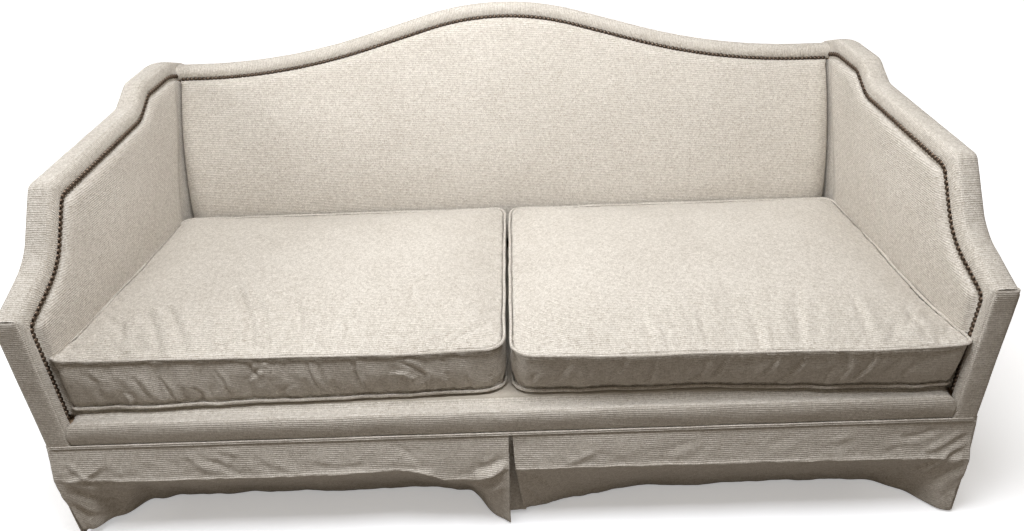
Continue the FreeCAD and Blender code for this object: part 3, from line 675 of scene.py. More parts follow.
def inside_arm(side, sizes):
    """Tight panel between the nails and the seat, swelling in from a rolled rim."""
    seed = 11 if side > 0 else 17
    front, top = FRONT_NAIL_LINE + PANEL_INSET, NAIL_LINE + PANEL_INSET
    corners = [(0.0, 0.0)] + list(ARM_TOP)
    bends = [0.012] + list(ARM_BENDS)
    parts = parts_of(corners, bends, 0.007)
    moved, refitted = drawn_in(corners, bends, [front] + [top] * (len(ARM_TOP) - 1))
    rim = cut_line(moved, refitted, parts)
    rim = rim[rim[:, 1] >= moved[0][1]]
    crest = rim[parts[0]:]
    low = DECK - BASE - 0.012
    y, z = arm_region(crest, low, 96, 1.9, rear_slope=math.tan(RAKE))
    y = np.minimum(y, DEPTH + z * math.tan(RAKE) - 0.014)
    edge = np.concatenate([[[front, low - 0.2]], rim[rim[:, 1] > low - 0.2]])
    gap = distance_to(y, z, edge)
    swell = INSIDE - ARM_REACH
    flat_strip = 0.0075 + 0.0030 * ease((ruffle(y, z, seed + 5, 0.35) + 0.5))
    depth = swell * rise((gap - flat_strip) / sizes.panel_edge) * 0.97 + 0.0006
    hold = 1 - ease((z - (DECK - BASE) - 0.10) / 0.12)
    depth += 0.0045 * ease(gap / 0.16) * (1 - hold)
    depth += 0.0007 * ruffle(y, z, seed, 0.02) * ease(1 - gap / 0.05) * ease(gap / 0.006)
    depth += 0.0010 * ruffle(y * 0.8, z, seed + 2, 0.12) * ease(gap / 0.04)
    depth -= 0.0030 * np.exp(-((gap - flat_strip) / 0.0022) ** 2)
    meeting = np.interp(z + BASE, MEETING_HEIGHTS, MEETING_PLACES)
    depth *= 1 - 0.6 * np.exp(-(np.clip(meeting - y - FRONT, 0, None) / 0.022) ** 2)
    grid = np.stack([side * (INSIDE - depth), y + FRONT, z + BASE], 2)
    shape = patch(grid, wound=side < 0)
    hem_back(shape, (side * 0.010, 0, 0))
    name = side_of(side) + "_inside_arm"
    made = piece(name + "_panel", shape, "sofa", "upholstery_fabric", [name])
    return made


def outside_arm(side):
    """Plain panel down the outside of the arm, sewn under the top strip."""
    seed = 23 if side > 0 else 29
    line = arm_line(0.0, 0.0130, step=0.012)
    low = SKIRT_TOP - BASE - 0.004
    y, z = arm_region(line, low, 60, 1.5, rear_slope=math.tan(RAKE))
    y[:, 0] = 0.0
    y = np.minimum(y, DEPTH + z * math.tan(RAKE) - 0.001)
    edge = np.concatenate([[[0.0, low - 0.3]], line, [[DEPTH + (low - 0.3) * math.tan(RAKE), low - 0.3]]])
    gap = distance_to(y, z, edge)
    out = 0.0042 * rise(gap / 0.014) - 0.0028 + 0.0008 * ruffle(y, z, seed, 0.15)
    grid = np.stack([side * (HALF + out), y + FRONT, z + BASE], 2)
    shape = patch(grid, wound=side > 0)
    hem_back(shape, (-side * 0.006, 0, 0))
    name = side_of(side) + "_outside_arm"
    made = piece(name + "_panel", shape, "sofa", "upholstery_fabric", [name])
    return made


def arm_front(side):
    """Narrow panel sewn in down the front of the arm."""
    seed = 31 if side > 0 else 37
    low, high = SKIRT_TOP - 0.004, BASE + ARM_TOP[0][1]
    wide = HALF - INSIDE
    s = np.array([0, 0.02, 0.06, 0.14, 0.28, 0.5, 0.72, 0.86, 0.94, 0.98, 1.0])
    t = np.concatenate([np.linspace(0, 0.94, 60), [0.965, 0.982, 0.993, 1.0]])
    x, z = np.meshgrid(INSIDE + wide * s, low + (high - low) * t)
    rim = np.minimum(np.minimum(s[None, :], 1 - s[None, :]) * wide, (1 - t[:, None]) * (high - low))
    out = 0.0042 * rise(rim / 0.010) - 0.0012 + 0.0006 * ruffle(x, z, seed, 0.04)
    grid = np.stack([side * x, FRONT - out, z], 2)
    shape = patch(grid, wound=side < 0)
    hem_back(shape, (0, 0.006, 0))
    name = side_of(side) + "_arm_front"
    made = piece(name + "_panel", shape, "sofa", "upholstery_fabric", [name], levels=1)
    return made


# Back

def back_world(x, up, forward):
    """Places on the raked back: along it, up its slope and forward of the outside back."""
    s, c = math.sin(RAKE), math.cos(RAKE)
    return np.stack([x, FRONT + DEPTH + up * s - forward * c, BASE + up * c + forward * s], -1)


def camel_line(inset, end, step=0.010):
    """The camel top outline at an inset, from the left end to the right."""
    corners = [(-end, CAMEL_END), (-CAMEL_FOOT, CAMEL_END), (0.0, CAMEL_PEAK), (CAMEL_FOOT, CAMEL_END),
               (end, CAMEL_END)]
    parts = [max(count, 6) for count in parts_of(corners, CAMEL_BENDS, step)]
    moved, refitted = drawn_in(corners, CAMEL_BENDS, [inset] * 4)
    return cut_line(moved, refitted, parts)


def back_border():
    """Padded roll over the camel top, from the seam behind to the nails in front."""
    section = [(0.0135, 0.0020), (0.0120, -0.0006), (0.0080, 0.0000), (0.0038, 0.0030), (0.0012, 0.0090),
               (-0.0004, 0.0180), (-0.0008, 0.0300), (0.0004, 0.0410), (0.0034, 0.0510), (0.0080, 0.0585),
               (0.0140, 0.0630), (0.0210, 0.0648), (0.0280, 0.0642), (0.0340, 0.0618), (0.0385, 0.0590),
               (0.0415, 0.0566), (0.0440, 0.0540)]
    rows = []
    for inset, forward in section:
        line = camel_line(inset, INSIDE - 0.0005)
        rows.append(back_world(line[:, 0], line[:, 1], np.full(len(line), forward)))
    grid = np.array(rows)
    ripple = ruffle(grid[..., 0], grid[..., 2] * 0.5, 41, 0.035) * 0.0009
    ripple += ruffle(grid[..., 0], grid[..., 2], 42, 0.012) * 0.0005
    grid[..., 1] -= ripple * np.sin(np.linspace(0, math.pi, len(section)))[:, None]
    shape = patch(grid, wound=True)
    strip_threads(shape, grid)
    made = piece("back_border_cloth", shape, "sofa", "upholstery_fabric", ["back_border"], threads=False, levels=1)
    return made


def inside_back(sizes):
    """Tight back panel: rolled rim under the nails, a gentle belly and ends that turn into the arms."""
    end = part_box("back_nail_trim")[1].x
    line = camel_line(BACK_NAIL_LINE + PANEL_INSET, end)
    low = 0.150
    t = 1 - (1 - np.linspace(0, 1, 97)) ** 1.7
    x = np.tile(line[:, 0], (len(t), 1))
    up = low + (line[:, 1] - low)[None, :] * t[:, None]
    gap = distance_to(x, up, line)
    side_gap = end - np.abs(x)
    belly_up, crown, lumbar = 0.340, 0.074, 0.160
    lean = np.clip((line[:, 1][None, :] - up) / (line[:, 1][None, :] - belly_up), 0, None)
    full = crown + (lumbar - crown) * (lean + 0.10 * np.sin(np.clip(lean, 0, 1) * math.pi))
    reach = (FRONT + DEPTH - SEAT_REAR + up * math.sin(RAKE)) / math.cos(RAKE)
    full = -0.018 * np.log(np.exp(-np.clip(full, 0, 0.4) / 0.018) + np.exp(-reach / 0.018))
    forward = BACK_THICK + (full - BACK_THICK) * rise(gap / (sizes.panel_edge + 0.25 * (full - BACK_THICK)))
    turn = 0.016 + 0.034 * ease((line[:, 1][None, :] - up) / 0.45)
    forward -= turn * (1 - rise(side_gap / (0.020 + turn))) * ease(gap / 0.02)
    forward += 0.0009 * ruffle(x * 0.5, up, 51, 0.09) * ease(gap / 0.05) * ease(side_gap / 0.05)
    forward += 0.0005 * ruffle(x, up * 0.3, 52, 0.018) * ease(1 - gap / 0.06) * ease(gap / 0.006)
    forward -= 0.0016 * (1 - rise(gap / 0.004))
    grid = back_world(x, up, forward)
    shape = patch(grid)
    hem_back(shape, (0, 0.012, 0))
    made = piece("inside_back_panel", shape, "sofa", "upholstery_fabric", ["inside_back"])
    return made


def outside_back():
    """Plain panel over the outside of the back, sewn under the top roll."""
    line = camel_line(0.0125, INSIDE + 0.0005, step=0.014)
    low = (SKIRT_TOP - 0.004 - BASE) / math.cos(RAKE)
    t = 1 - (1 - np.linspace(0, 1, 61)) ** 1.5
    x = np.tile(line[:, 0], (len(t), 1))
    up = low + (line[:, 1] - low)[None, :] * t[:, None]
    gap = np.minimum(distance_to(x, up, line), INSIDE - np.abs(x))
    out = 0.0040 * rise(gap / 0.014) - 0.0024 + 0.0010 * ruffle(x, up, 61, 0.2)
    shape = patch(back_world(x, up, -out), wound=True)
    hem_back(shape, (0, -0.006, 0))
    made = piece("outside_back_panel", shape, "sofa", "upholstery_fabric", ["outside_back"])
    return made


# Nail heads

def nail_row(name, places, facing, sizes, replaces):
    """Domed heads side by side. Each is a low dome of a few dozen faces."""
    dice = random.Random(name)
    shape = bmesh.new()
    radius = sizes.nail_head / 2
    for place, way in zip(places, facing):
        turn = Vector(way).to_track_quat("Z", "Y").to_matrix().to_4x4()
        tilt = Matrix.Rotation(dice.uniform(-0.07, 0.07), 4, "X") @ Matrix.Rotation(dice.uniform(-0.07, 0.07), 4, "Y")
        spin = Matrix.Rotation(dice.uniform(0, 1.0), 4, "Z")
        size = Matrix.Diagonal((1, 1, 0.70, 1))
        home = Matrix.Translation(Vector(place)) @ turn @ tilt @ spin @ size
        made = bmesh.ops.create_uvsphere(shape, u_segments=10, v_segments=6, radius=radius * dice.uniform(0.97, 1.03))
        under = [corner for corner in made["verts"] if corner.co.z < -radius * 0.2]
        upper = [corner for corner in made["verts"] if corner.co.z >= -radius * 0.2]
        bmesh.ops.delete(shape, geom=under, context="VERTS")
        bmesh.ops.transform(shape, matrix=home, verts=upper)
    return piece(name, shape, "sofa", "nail_bronze", replaces, threads=False)


def arm_nails(side, sizes):
    """The row inside one arm, from the deck up and along to the back."""
    name = side_of(side) + "_arm_nail"
    line = arm_line(FRONT_NAIL_LINE, NAIL_LINE, step=0.004, down=DECK - BASE - 0.010)
    points = spaced(line[line[:, 0] < LAST_ARM_NAIL], sizes.nail_pitch)
    places = arm_world(side, INSIDE - NAIL_STAND, points)
    return nail_row(name + "s", places, [(-side, 0, 0)] * len(places), sizes, [name + "_trim"])


def back_nails(sizes):
    """The row under the back's border, from arm to arm."""
    line = camel_line(BACK_NAIL_LINE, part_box("back_nail_trim")[1].x, step=0.005)
    points = spaced(line, sizes.nail_pitch)
    places = back_world(points[:, 0], points[:, 1], np.full(len(points), BACK_THICK + NAIL_STAND))
    facing = [(0, -math.cos(RAKE), math.sin(RAKE))] * len(places)
    return nail_row("back_nails", places, facing, sizes, ["back_nail_trim"])


# Seat

def front_border():
    """Padded band over the front rail, rolled back under the cushions and rounded at its ends."""
    half = INSIDE - 0.0008
    section = [(0.004, SKIRT_TOP - 0.006), (0.0022, SKIRT_TOP + 0.004), (-0.0002, SKIRT_TOP + 0.016),
               (-0.0022, SKIRT_TOP + 0.030), (-0.0030, SKIRT_TOP + 0.043), (-0.0016, SKIRT_TOP + 0.053),
               (0.0016, DECK - 0.0100), (0.0062, DECK - 0.0062), (0.0120, DECK - 0.0072),
               (0.0200, DECK - 0.0096), (0.0290, DECK - 0.0100), (0.0430, DECK - 0.0020)]
    ends = np.array([0, 0.0012, 0.004, 0.008, 0.013, 0.019, 0.026, 0.034])
    middle = np.linspace(-half + 0.042, half - 0.042, 150)
    x = np.concatenate([-half + ends, middle, (half - ends)[::-1]])
    gap = half - np.abs(x)
    radius = 0.026
    drop = radius - np.sqrt(np.clip(radius ** 2 - np.clip(radius - gap, 0, radius) ** 2, 0, None))
    drop = np.minimum(drop, radius * 0.92)
    rows = []
    base = SKIRT_TOP - 0.006
    for y, z in section:
        share = (z - base) / (DECK - base)
        height = z - drop * ease((share - 0.2) / 0.8)
        inward = 0.0035 * (1 - rise(gap / 0.008))
        rows.append(np.stack([x, FRONT + y + inward, height], 1))
    grid = np.array(rows)
    wave = ruffle(grid[..., 0], grid[..., 2] * 2.0, 71, 0.11) * 0.0016
    wave += ruffle(grid[..., 0] * 0.6, grid[..., 2] * 3.0, 72, 0.035) * 0.0007
    grid[..., 1] -= wave * np.sin(np.linspace(0.2, math.pi, len(section)))[:, None]
    shape = patch(grid)
    hem_back(shape, (0, 0.008, 0))
    made = piece("front_border_cloth", shape, "sofa", "upholstery_fabric", ["front_border"], levels=1)
    return made


def deck_pad():
    """Padded deck under the cushions, in plain deck cloth."""
    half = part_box("deck_pad")[1].x
    x = np.linspace(-half, half, 120)
    y = np.linspace(FRONT + 0.0415, SEAT_REAR, 50)
    xx, yy = np.meshgrid(x, y)
    gap = np.minimum(half - np.abs(xx), np.minimum(yy - y[0] + 0.02, y[-1] - yy + 0.01))
    z = DECK - 0.003 + 0.003 * rise(gap / 0.02) + 0.0006 * ruffle(xx, yy, 81, 0.12) - 0.0006
    shape = patch(np.stack([xx, yy, z], 2))
    hem_back(shape, (0, 0, -0.016))
    made = piece("seat_deck_pad", shape, "sofa", "deck_cloth", ["deck_pad"])
    return made


# Cushions

def cushion_form(cuts):
    """A closed box of even patches, two units each way."""
    shape = bmesh.new()
    bmesh.ops.create_cube(shape, size=2.0)
    for axis, count in enumerate(cuts):
        edges = [edge for edge in shape.edges if abs(edge.verts[0].co[axis] - edge.verts[1].co[axis]) > 1e-4]
        bmesh.ops.subdivide_edges(shape, edges=edges, cuts=count, use_grid_fill=True)
    shape.verts.ensure_lookup_table()
    return shape


# Front line of each seam: distance from the middle of the sofa, place along the depth
TOP_SEAM = {
    -1: [(0.0, -0.432), (0.1, -0.435), (0.23, -0.442), (0.4, -0.439), (0.6, -0.436), (0.75, -0.434), (0.86, -0.441),
         (0.965, -0.446)],
    1: [(0.0, -0.454), (0.08, -0.461), (0.22, -0.47), (0.45, -0.47), (0.6, -0.473), (0.75, -0.48), (0.87, -0.476),
        (0.96, -0.47)],
}
LOW_SEAM = {
    -1: [(0.0, -0.42), (0.1, -0.425), (0.25, -0.431), (0.5, -0.434), (0.75, -0.439), (0.96, -0.44)],
    1: [(0.0, -0.426), (0.06, -0.43), (0.4, -0.431), (0.55, -0.438), (0.69, -0.446), (0.85, -0.452), (0.96, -0.452)],
}
# Lift of the top seam along its front: distance from the middle, height
SEAM_LIFT = {
    -1: [(0.0, -0.002), (0.3, 0.0), (0.72, 0.001), (0.86, 0.006), (0.965, 0.017)],
    1: [(0.0, 0.0), (0.5, 0.0), (0.9, 0.002), (0.965, 0.004)],
}
# Outer end of each cushion: place along the depth, distance from the middle of the sofa
OUTER_END = {
    -1: [(-0.46, 0.9655), (-0.43, 0.963), (-0.37, 0.9555), (-0.2, 0.953), (0.0, 0.954), (0.25, 0.954)],
    1: [(-0.48, 0.965), (-0.45, 0.961), (-0.4, 0.953), (-0.3, 0.946), (-0.15, 0.949), (0.0, 0.9535), (0.25, 0.954)],
}


def along_line(places, value):
    return float(np.interp(value, [a for a, _ in places], [b for _, b in places]))


def mould_cushion(shape, side, inset=0.0):
    """Move the box's corners to a crowned cushion with soft corners, and lay the threads on it."""
    low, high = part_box(side_of(side) + "_cushion_cover")
    inner = min(abs(low.x), abs(high.x)) + INNER_GAP + inset
    rear = high.y - inset
    threads = shape.loops.layers.uv.new(THREADS)
    unit_places = {corner: corner.co.copy() for corner in shape.verts}
    for corner, at in unit_places.items():
        share, across, back = (at.z + 1) / 2, (at.x * side + 1) / 2, (at.y + 1) / 2
        x = inner + (CUSHION_END - inner) * across
        front = along_line(LOW_SEAM[side], x) * (1 - share) + along_line(TOP_SEAM[side], x) * share + inset
        y = front + (rear - front) * back
        outer = along_line(OUTER_END[side], y) - inset
        x = inner + (outer - inner) * across
        radius = 0.013 if across > 0.5 and back < 0.5 else 0.034
        cut_x, cut_y = radius - min(x - inner, outer - x), radius - min(y - front, rear - y)
        if cut_x > 0 and cut_y > 0:
            a, b = cut_x / radius, cut_y / radius
            pull_x = radius * a * (1 - math.sqrt(1 - b * b / 2))
            pull_y = radius * b * (1 - math.sqrt(1 - a * a / 2))
            x += pull_x if across < 0.5 else -pull_x
            y += pull_y if back < 0.5 else -pull_y
        edges = [max(0.0, d) for d in (x - inner, outer - x, y - front, rear - y)]
        wave = 0.0012 * noise.noise(Vector((x * 9, y * 9, side * 3.0)))
        lift = along_line(SEAM_LIFT[side], x) * (1 - back) ** 3
        top_seam = DECK + CUSHION_EDGE + 0.006 * back + lift + wave - inset
        low_seam = DECK + 0.0045 + 0.0055 * max(0.0, 1 - edges[2] / 0.05) + wave * 0.5 + inset
        z = low_seam + (top_seam - low_seam) * share
        if at.z > 0.999:
            puff = 1.0
            for gap, reach in zip(edges, (0.045, 0.050, 0.080, 0.026)):
                puff *= 1 - math.exp(-gap / reach)
            z += CUSHION_CROWN * puff
        elif at.z < -0.999:
            z -= 0.0035 * min(1.0, 22 * min(edges))
        else:
            bulge = math.sin(math.pi * share)
            if edges[2] < 1e-4 + radius * 0.3 and edges[2] <= min(edges[0], edges[1]) + 0.004:
                y -= 0.004 * bulge
        corner.co = (side * x, y, z)
    for face in shape.faces:
        middle = sum((unit_places[corner] for corner in face.verts), Vector()) / len(face.verts)
        for loop in face.loops:
            x, y, z = loop.vert.co
            if abs(middle.z) > 0.999:
                loop[threads].uv = (x, y)
            elif abs(middle.y) > 0.999:
                loop[threads].uv = (x, z)
            else:
                loop[threads].uv = (y, z)
    return unit_places


def seam_rings(unit_places):
    """Corners along the top and the bottom seam, each in order round the cushion."""
    rings = []
    for level in (1, -1):
        ring = [corner for corner, at in unit_places.items()
                if abs(at.z - level) < 1e-4 and (abs(at.x) > 0.999 or abs(at.y) > 0.999)]
        ring.sort(key=lambda corner: math.atan2(unit_places[corner].y, unit_places[corner].x))
        rings.append([corner.index for corner in ring])
    return rings


def settle(made, rings, low_face, sizes):
    """Let the cover fill out: cloth with pressure inside, its underside held on the deck."""
    scene = bpy.context.scene
    start = np.array([corner.co[:] for corner in made.data.vertices])
    held = made.vertex_groups.new(name="held")
    held.add(low_face, 1.0, "REPLACE")
    held.add(rings[0] + rings[1], 1.0, "REPLACE")
    settling = made.modifiers.new("Settling", "CLOTH")
    cloth = settling.settings
    cloth.quality = 6
    cloth.mass = 0.3
    cloth.tension_stiffness = cloth.compression_stiffness = 14
    cloth.shear_stiffness = 5
    cloth.bending_stiffness = 0.25
    cloth.use_pressure = True
    cloth.uniform_pressure_force = 4.0
    cloth.vertex_group_mass = held.name
    cloth.shrink_min = -0.008
    cloth.effector_weights.gravity = 0
    settling.point_cache.frame_start, settling.point_cache.frame_end = 1, sizes.simulated_frames
    for moment in range(1, sizes.simulated_frames + 1):
        scene.frame_set(moment)
    view = bpy.context.evaluated_depsgraph_get()
    filled = np.array([corner.co[:] for corner in made.evaluated_get(view).data.vertices])
    made.modifiers.remove(settling)
    made.vertex_groups.clear()
    scene.frame_set(1)
    move = filled - start
    length = np.linalg.norm(move, axis=1)
    cap = 0.022
    move *= (cap * np.tanh(length / cap) / np.maximum(length, 1e-9))[:, None]
    return start + move


# Creases: points along each one, then its depth and half width
# On the boxing the points are distance from the cushion's middle and height over the deck
BOXING_CREASES = {
    -1: [([(0.052, 0.118), (0.055, 0.085), (0.068, 0.04)], 0.0055, 0.0055),
         ([(0.152, 0.122), (0.154, 0.08), (0.163, 0.03)], 0.0055, 0.0055),
         ([(-0.072, 0.118), (-0.07, 0.1), (-0.055, 0.078)], 0.005, 0.0065),
         ([(-0.045, 0.105), (-0.068, 0.09), (-0.085, 0.07)], 0.0045, 0.0065),
         ([(-0.036, 0.124), (-0.035, 0.105)], -0.004, 0.007),
         ([(-0.352, 0.05), (-0.345, 0.03), (-0.352, 0.012)], -0.005, 0.007),
         ([(-0.325, 0.095), (-0.312, 0.06), (-0.302, 0.03)], 0.0036, 0.008),
         ([(-0.27, 0.085), (-0.256, 0.05), (-0.25, 0.012)], 0.0046, 0.006),
         ([(-0.15, 0.105), (-0.135, 0.07), (-0.13, 0.03)], 0.004, 0.006),
         ([(0.245, 0.11), (0.275, 0.098), (0.3, 0.07), (0.295, 0.045)], 0.0048, 0.0065),
         ([(0.225, 0.075), (0.255, 0.08), (0.28, 0.06)], -0.0036, 0.007),
         ([(0.385, 0.06), (0.395, 0.03), (0.392, 0.01)], 0.0034, 0.007),
         ([(-0.205, 0.06), (-0.19, 0.035), (-0.195, 0.01)], 0.003, 0.007),
         ([(0.005, 0.06), (-0.01, 0.035), (-0.006, 0.01)], 0.003, 0.007),
         ([(-0.425, 0.11), (-0.4, 0.08), (-0.405, 0.03)], 0.003, 0.01), ([(0.33, 0.12), (0.345, 0.1)], 0.003, 0.006)],
    1: [([(-0.229, 0.118), (-0.25, 0.08), (-0.272, 0.045)], 0.0038, 0.007),
        ([(-0.17, 0.12), (-0.172, 0.08), (-0.184, 0.035)], 0.0046, 0.006),
        ([(-0.064, 0.12), (-0.063, 0.08), (-0.072, 0.05), (-0.095, 0.025)], 0.0044, 0.006),
        ([(-0.018, 0.115), (-0.028, 0.08), (-0.042, 0.045)], 0.0046, 0.006),
        ([(0.086, 0.124), (0.074, 0.08), (0.052, 0.035)], 0.0048, 0.006),
        ([(0.144, 0.124), (0.132, 0.08), (0.12, 0.05), (0.098, 0.022)], 0.0054, 0.006),
        ([(0.228, 0.12), (0.236, 0.07), (0.225, 0.03)], 0.0034, 0.0065),
        ([(0.282, 0.122), (0.274, 0.075), (0.262, 0.045), (0.24, 0.022)], 0.0054, 0.006),
        ([(-0.35, 0.11), (-0.365, 0.07), (-0.38, 0.035)], 0.0028, 0.008),
        ([(0.345, 0.124), (0.348, 0.104)], 0.0022, 0.005), ([(0.372, 0.124), (0.378, 0.104)], 0.0022, 0.005),
        ([(0.4, 0.122), (0.41, 0.1)], 0.0022, 0.005), ([(-0.42, 0.08), (-0.43, 0.04)], 0.0026, 0.008)],
}
# On the top they are distance from the cushion's middle and place along the depth
TOP_CREASES = {
    -1: [([(-0.385, -0.33), (-0.355, -0.395)], 0.004, 0.011),
         ([(-0.3, -0.29), (-0.24, -0.37), (-0.205, -0.43)], 0.0046, 0.011),
         ([(-0.345, -0.3), (-0.3, -0.36), (-0.262, -0.43)], 0.004, 0.011),
         ([(-0.165, -0.22), (-0.1, -0.33), (-0.065, -0.43)], 0.007, 0.013),
         ([(-0.12, -0.25), (-0.06, -0.34), (-0.036, -0.43)], 0.0062, 0.011),
         ([(-0.02, -0.25), (0.015, -0.34), (0.035, -0.412)], 0.005, 0.011),
         ([(0.04, -0.33), (0.06, -0.425)], 0.003, 0.01), ([(0.262, -0.245), (0.27, -0.325)], 0.0036, 0.011),
         ([(0.262, -0.39), (0.258, -0.43)], 0.0026, 0.01), ([(-0.415, -0.36), (-0.42, -0.41)], 0.0026, 0.013),
         ([(0.13, -0.38), (0.136, -0.43)], 0.0024, 0.009), ([(-0.14, -0.395), (-0.12, -0.43)], 0.0036, 0.007)],
    1: [([(-0.38, -0.35), (-0.36, -0.45)], 0.003, 0.012), ([(-0.18, -0.37), (-0.175, -0.455)], 0.0026, 0.011),
        ([(-0.05, -0.33), (-0.06, -0.45)], 0.0024, 0.014),
        ([(0.18, -0.3), (0.15, -0.4), (0.14, -0.465)], 0.0034, 0.012),
        ([(0.29, -0.33), (0.28, -0.465)], 0.0034, 0.012), ([(0.39, -0.36), (0.4, -0.455)], 0.003, 0.012),
        ([(-0.3, -0.4), (-0.295, -0.45)], 0.0024, 0.009), ([(0.06, -0.4), (0.05, -0.462)], 0.0026, 0.01)],
}


def crease(u, v, line):
    """Depth of one crease at places (u, v): a sharp valley that fades to its ends, with a ridge beside it."""
    points, depth, width = line
    lengths = [math.dist(a, b) for a, b in zip(points, points[1:])]
    total, done = sum(lengths), 0.0
    off, along = np.full(np.shape(u), 1e9), np.zeros(np.shape(u))
    for (au, av), (bu, bv), length in zip(points, points[1:], lengths):
        t = np.clip(((u - au) * (bu - au) + (v - av) * (bv - av)) / length ** 2, 0, 1)
        gap = np.hypot(u - au - t * (bu - au), v - av - t * (bv - av))
        across = ((u - au) * (bv - av) - (v - av) * (bu - au)) / length
        nearer = gap < np.abs(off)
        off = np.where(nearer, np.copysign(gap, across), off)
        along = np.where(nearer, (done + t * length) / total, along)
        done += length
    fade = np.clip(1 - (2 * along - 1) ** 4, 0, 1)
    width = 0.78 * width
    valley, ridge = np.exp(-(off / width) ** 2), np.exp(-((off + 2.1 * width) / (1.5 * width)) ** 2)
    return depth * fade * (valley - 0.6 * ridge)


def crumple(shape, side, middle_x, seams):
    """Creases and small waves on a filled cover, along the cloth's normals."""
    seed = 91 if side > 0 else 97
    shape.normal_update()
    corners = list(shape.verts)
    at = np.array([corner.co[:] for corner in corners])
    facing = np.array([corner.normal[:] for corner in corners])
    u, z = at[:, 0] - middle_x, at[:, 2] - DECK
    move = np.zeros(len(corners))
    front = np.clip(-facing[:, 1], 0, 1) ** 0.5 * (facing[:, 2] < 0.75)
    for line in BOXING_CREASES[side]:
        move -= crease(u, z, line) * front * CREASE_SHARE
    upward = np.clip(facing[:, 2], 0, 1) ** 2
    for line in TOP_CREASES[side]:
        move -= crease(u, at[:, 1], line) * upward
    low_front = ease((at[:, 1] + 0.26) / -0.16)
    lively = 1.6 if side < 0 else 1.0
    move += ruffle(at[:, 0], at[:, 1] * 0.35, seed, 0.050) * 0.0018 * lively * upward * (0.2 + low_front)
    move += ruffle(at[:, 0], at[:, 1], seed + 1, 0.16) * 0.0026 * upward
    move += ruffle(at[:, 0] + at[:, 1], z * 0.7, seed + 2, 0.045) * 0.0022 * (1 - upward)
    nearby = kdtree.KDTree(len(seams))
    for k, place in enumerate(seams):
        nearby.insert(place, k)
    nearby.balance()
    seam = np.array([nearby.find(place)[2] for place in at])
    level = (facing[:, 2] < 0.6) & (facing[:, 2] > -0.6)
    pucker = ruffle(at[:, 0] + at[:, 1], z * 0.2, seed + 3, 0.014) * 0.0009
    move += pucker * np.exp(-(seam / 0.020) ** 2) * (seam > 0.003)
    move -= GROOVE_DEPTH * np.exp(-((seam - GROOVE_PLACE) / GROOVE_WIDTH) ** 2) * level
    for corner, way, step in zip(corners, facing, move):
        corner.co = corner.co + Vector(way) * step


def cushion(side, sizes):
    """One filled seat cushion: cover, piping on both seams, foam inside."""
    body = side_of(side) + "_cushion"
    shape = cushion_form((77, 53, 11))
    unit_places = mould_cushion(shape, side)
    rings = seam_rings(unit_places)
    low_face = [corner.index for corner, at in unit_places.items()
                if at.z < -0.999 and max(abs(at.x), abs(at.y)) < 0.94]
    cover = piece(body + "_covering", shape, body, "upholstery_fabric", [body + "_cover"], threads=False)
    low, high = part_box(body + "_cover")
    middle_x = (low.x + high.x) / 2
    settled = settle(cover, rings, low_face, sizes)
    settled[:, 2] = np.maximum(settled[:, 2], DECK + 0.0006)
    settled[:, 1] = np.minimum(settled[:, 1], high.y + 0.002)
    settled[:, 0] = side * np.clip(settled[:, 0] * side, 0.0050, 0.9640)
    for corner, place in zip(cover.data.vertices, settled):
        corner.co = place
    rest = bmesh.new()
    rest.from_mesh(cover.data)
    bmesh.ops.subdivide_edges(rest, edges=rest.edges, cuts=1, smooth=0.6, use_grid_fill=True)
    fine = [edge for edge in rest.edges if all(
        corner.co.y < -0.40 or (corner.co.y < -0.20 and corner.co.z > DECK + 0.13) for corner in edge.verts)]
    bmesh.ops.subdivide_edges(rest, edges=fine, cuts=1, smooth=0.5, use_grid_fill=True)
    rest.verts.ensure_lookup_table()
    crumple(rest, side, middle_x, [rest.verts[k].co.copy() for ring in rings for k in ring])
    for corner in rest.verts:
        corner.co.y = min(corner.co.y, high.y - 0.0002)
    rest.verts.ensure_lookup_table()
    lines = [[rest.verts[k].co.copy() for k in ring] for ring in rings]
    rest.to_mesh(cover.data)
    rest.free()
    cover.data.polygons.foreach_set("use_smooth", [True] * len(cover.data.polygons))
    cords = []
    for line, lift in zip(lines, (0.0008, 0.0)):
        soft = [(line[k - 1] + line[k] * 2 + line[(k + 1) % len(line)]) / 4 for k in range(len(line))]
        cord = []
        for k, point in enumerate(soft):
            ahead = soft[(k + 1) % len(soft)] - soft[k - 1]
            out = Vector((ahead.y, -ahead.x, 0)).normalized()
            if out.dot(point - Vector((middle_x, -0.12, 0))) < 0:
                out.negate()
            cord.append(point + out * sizes.piping * 0.60 + Vector((0, 0, lift)))
        cords.append(cord)
    welts = piping(body + "_piping", cords, sizes.piping, body, [body + "_welts"])
    filling = cushion_form((23, 17, 5))
    mould_cushion(filling, side, inset=0.012)
    block = piece(body + "_filling", filling, body, "foam", [body + "_foam"], threads=False)


# Skirt

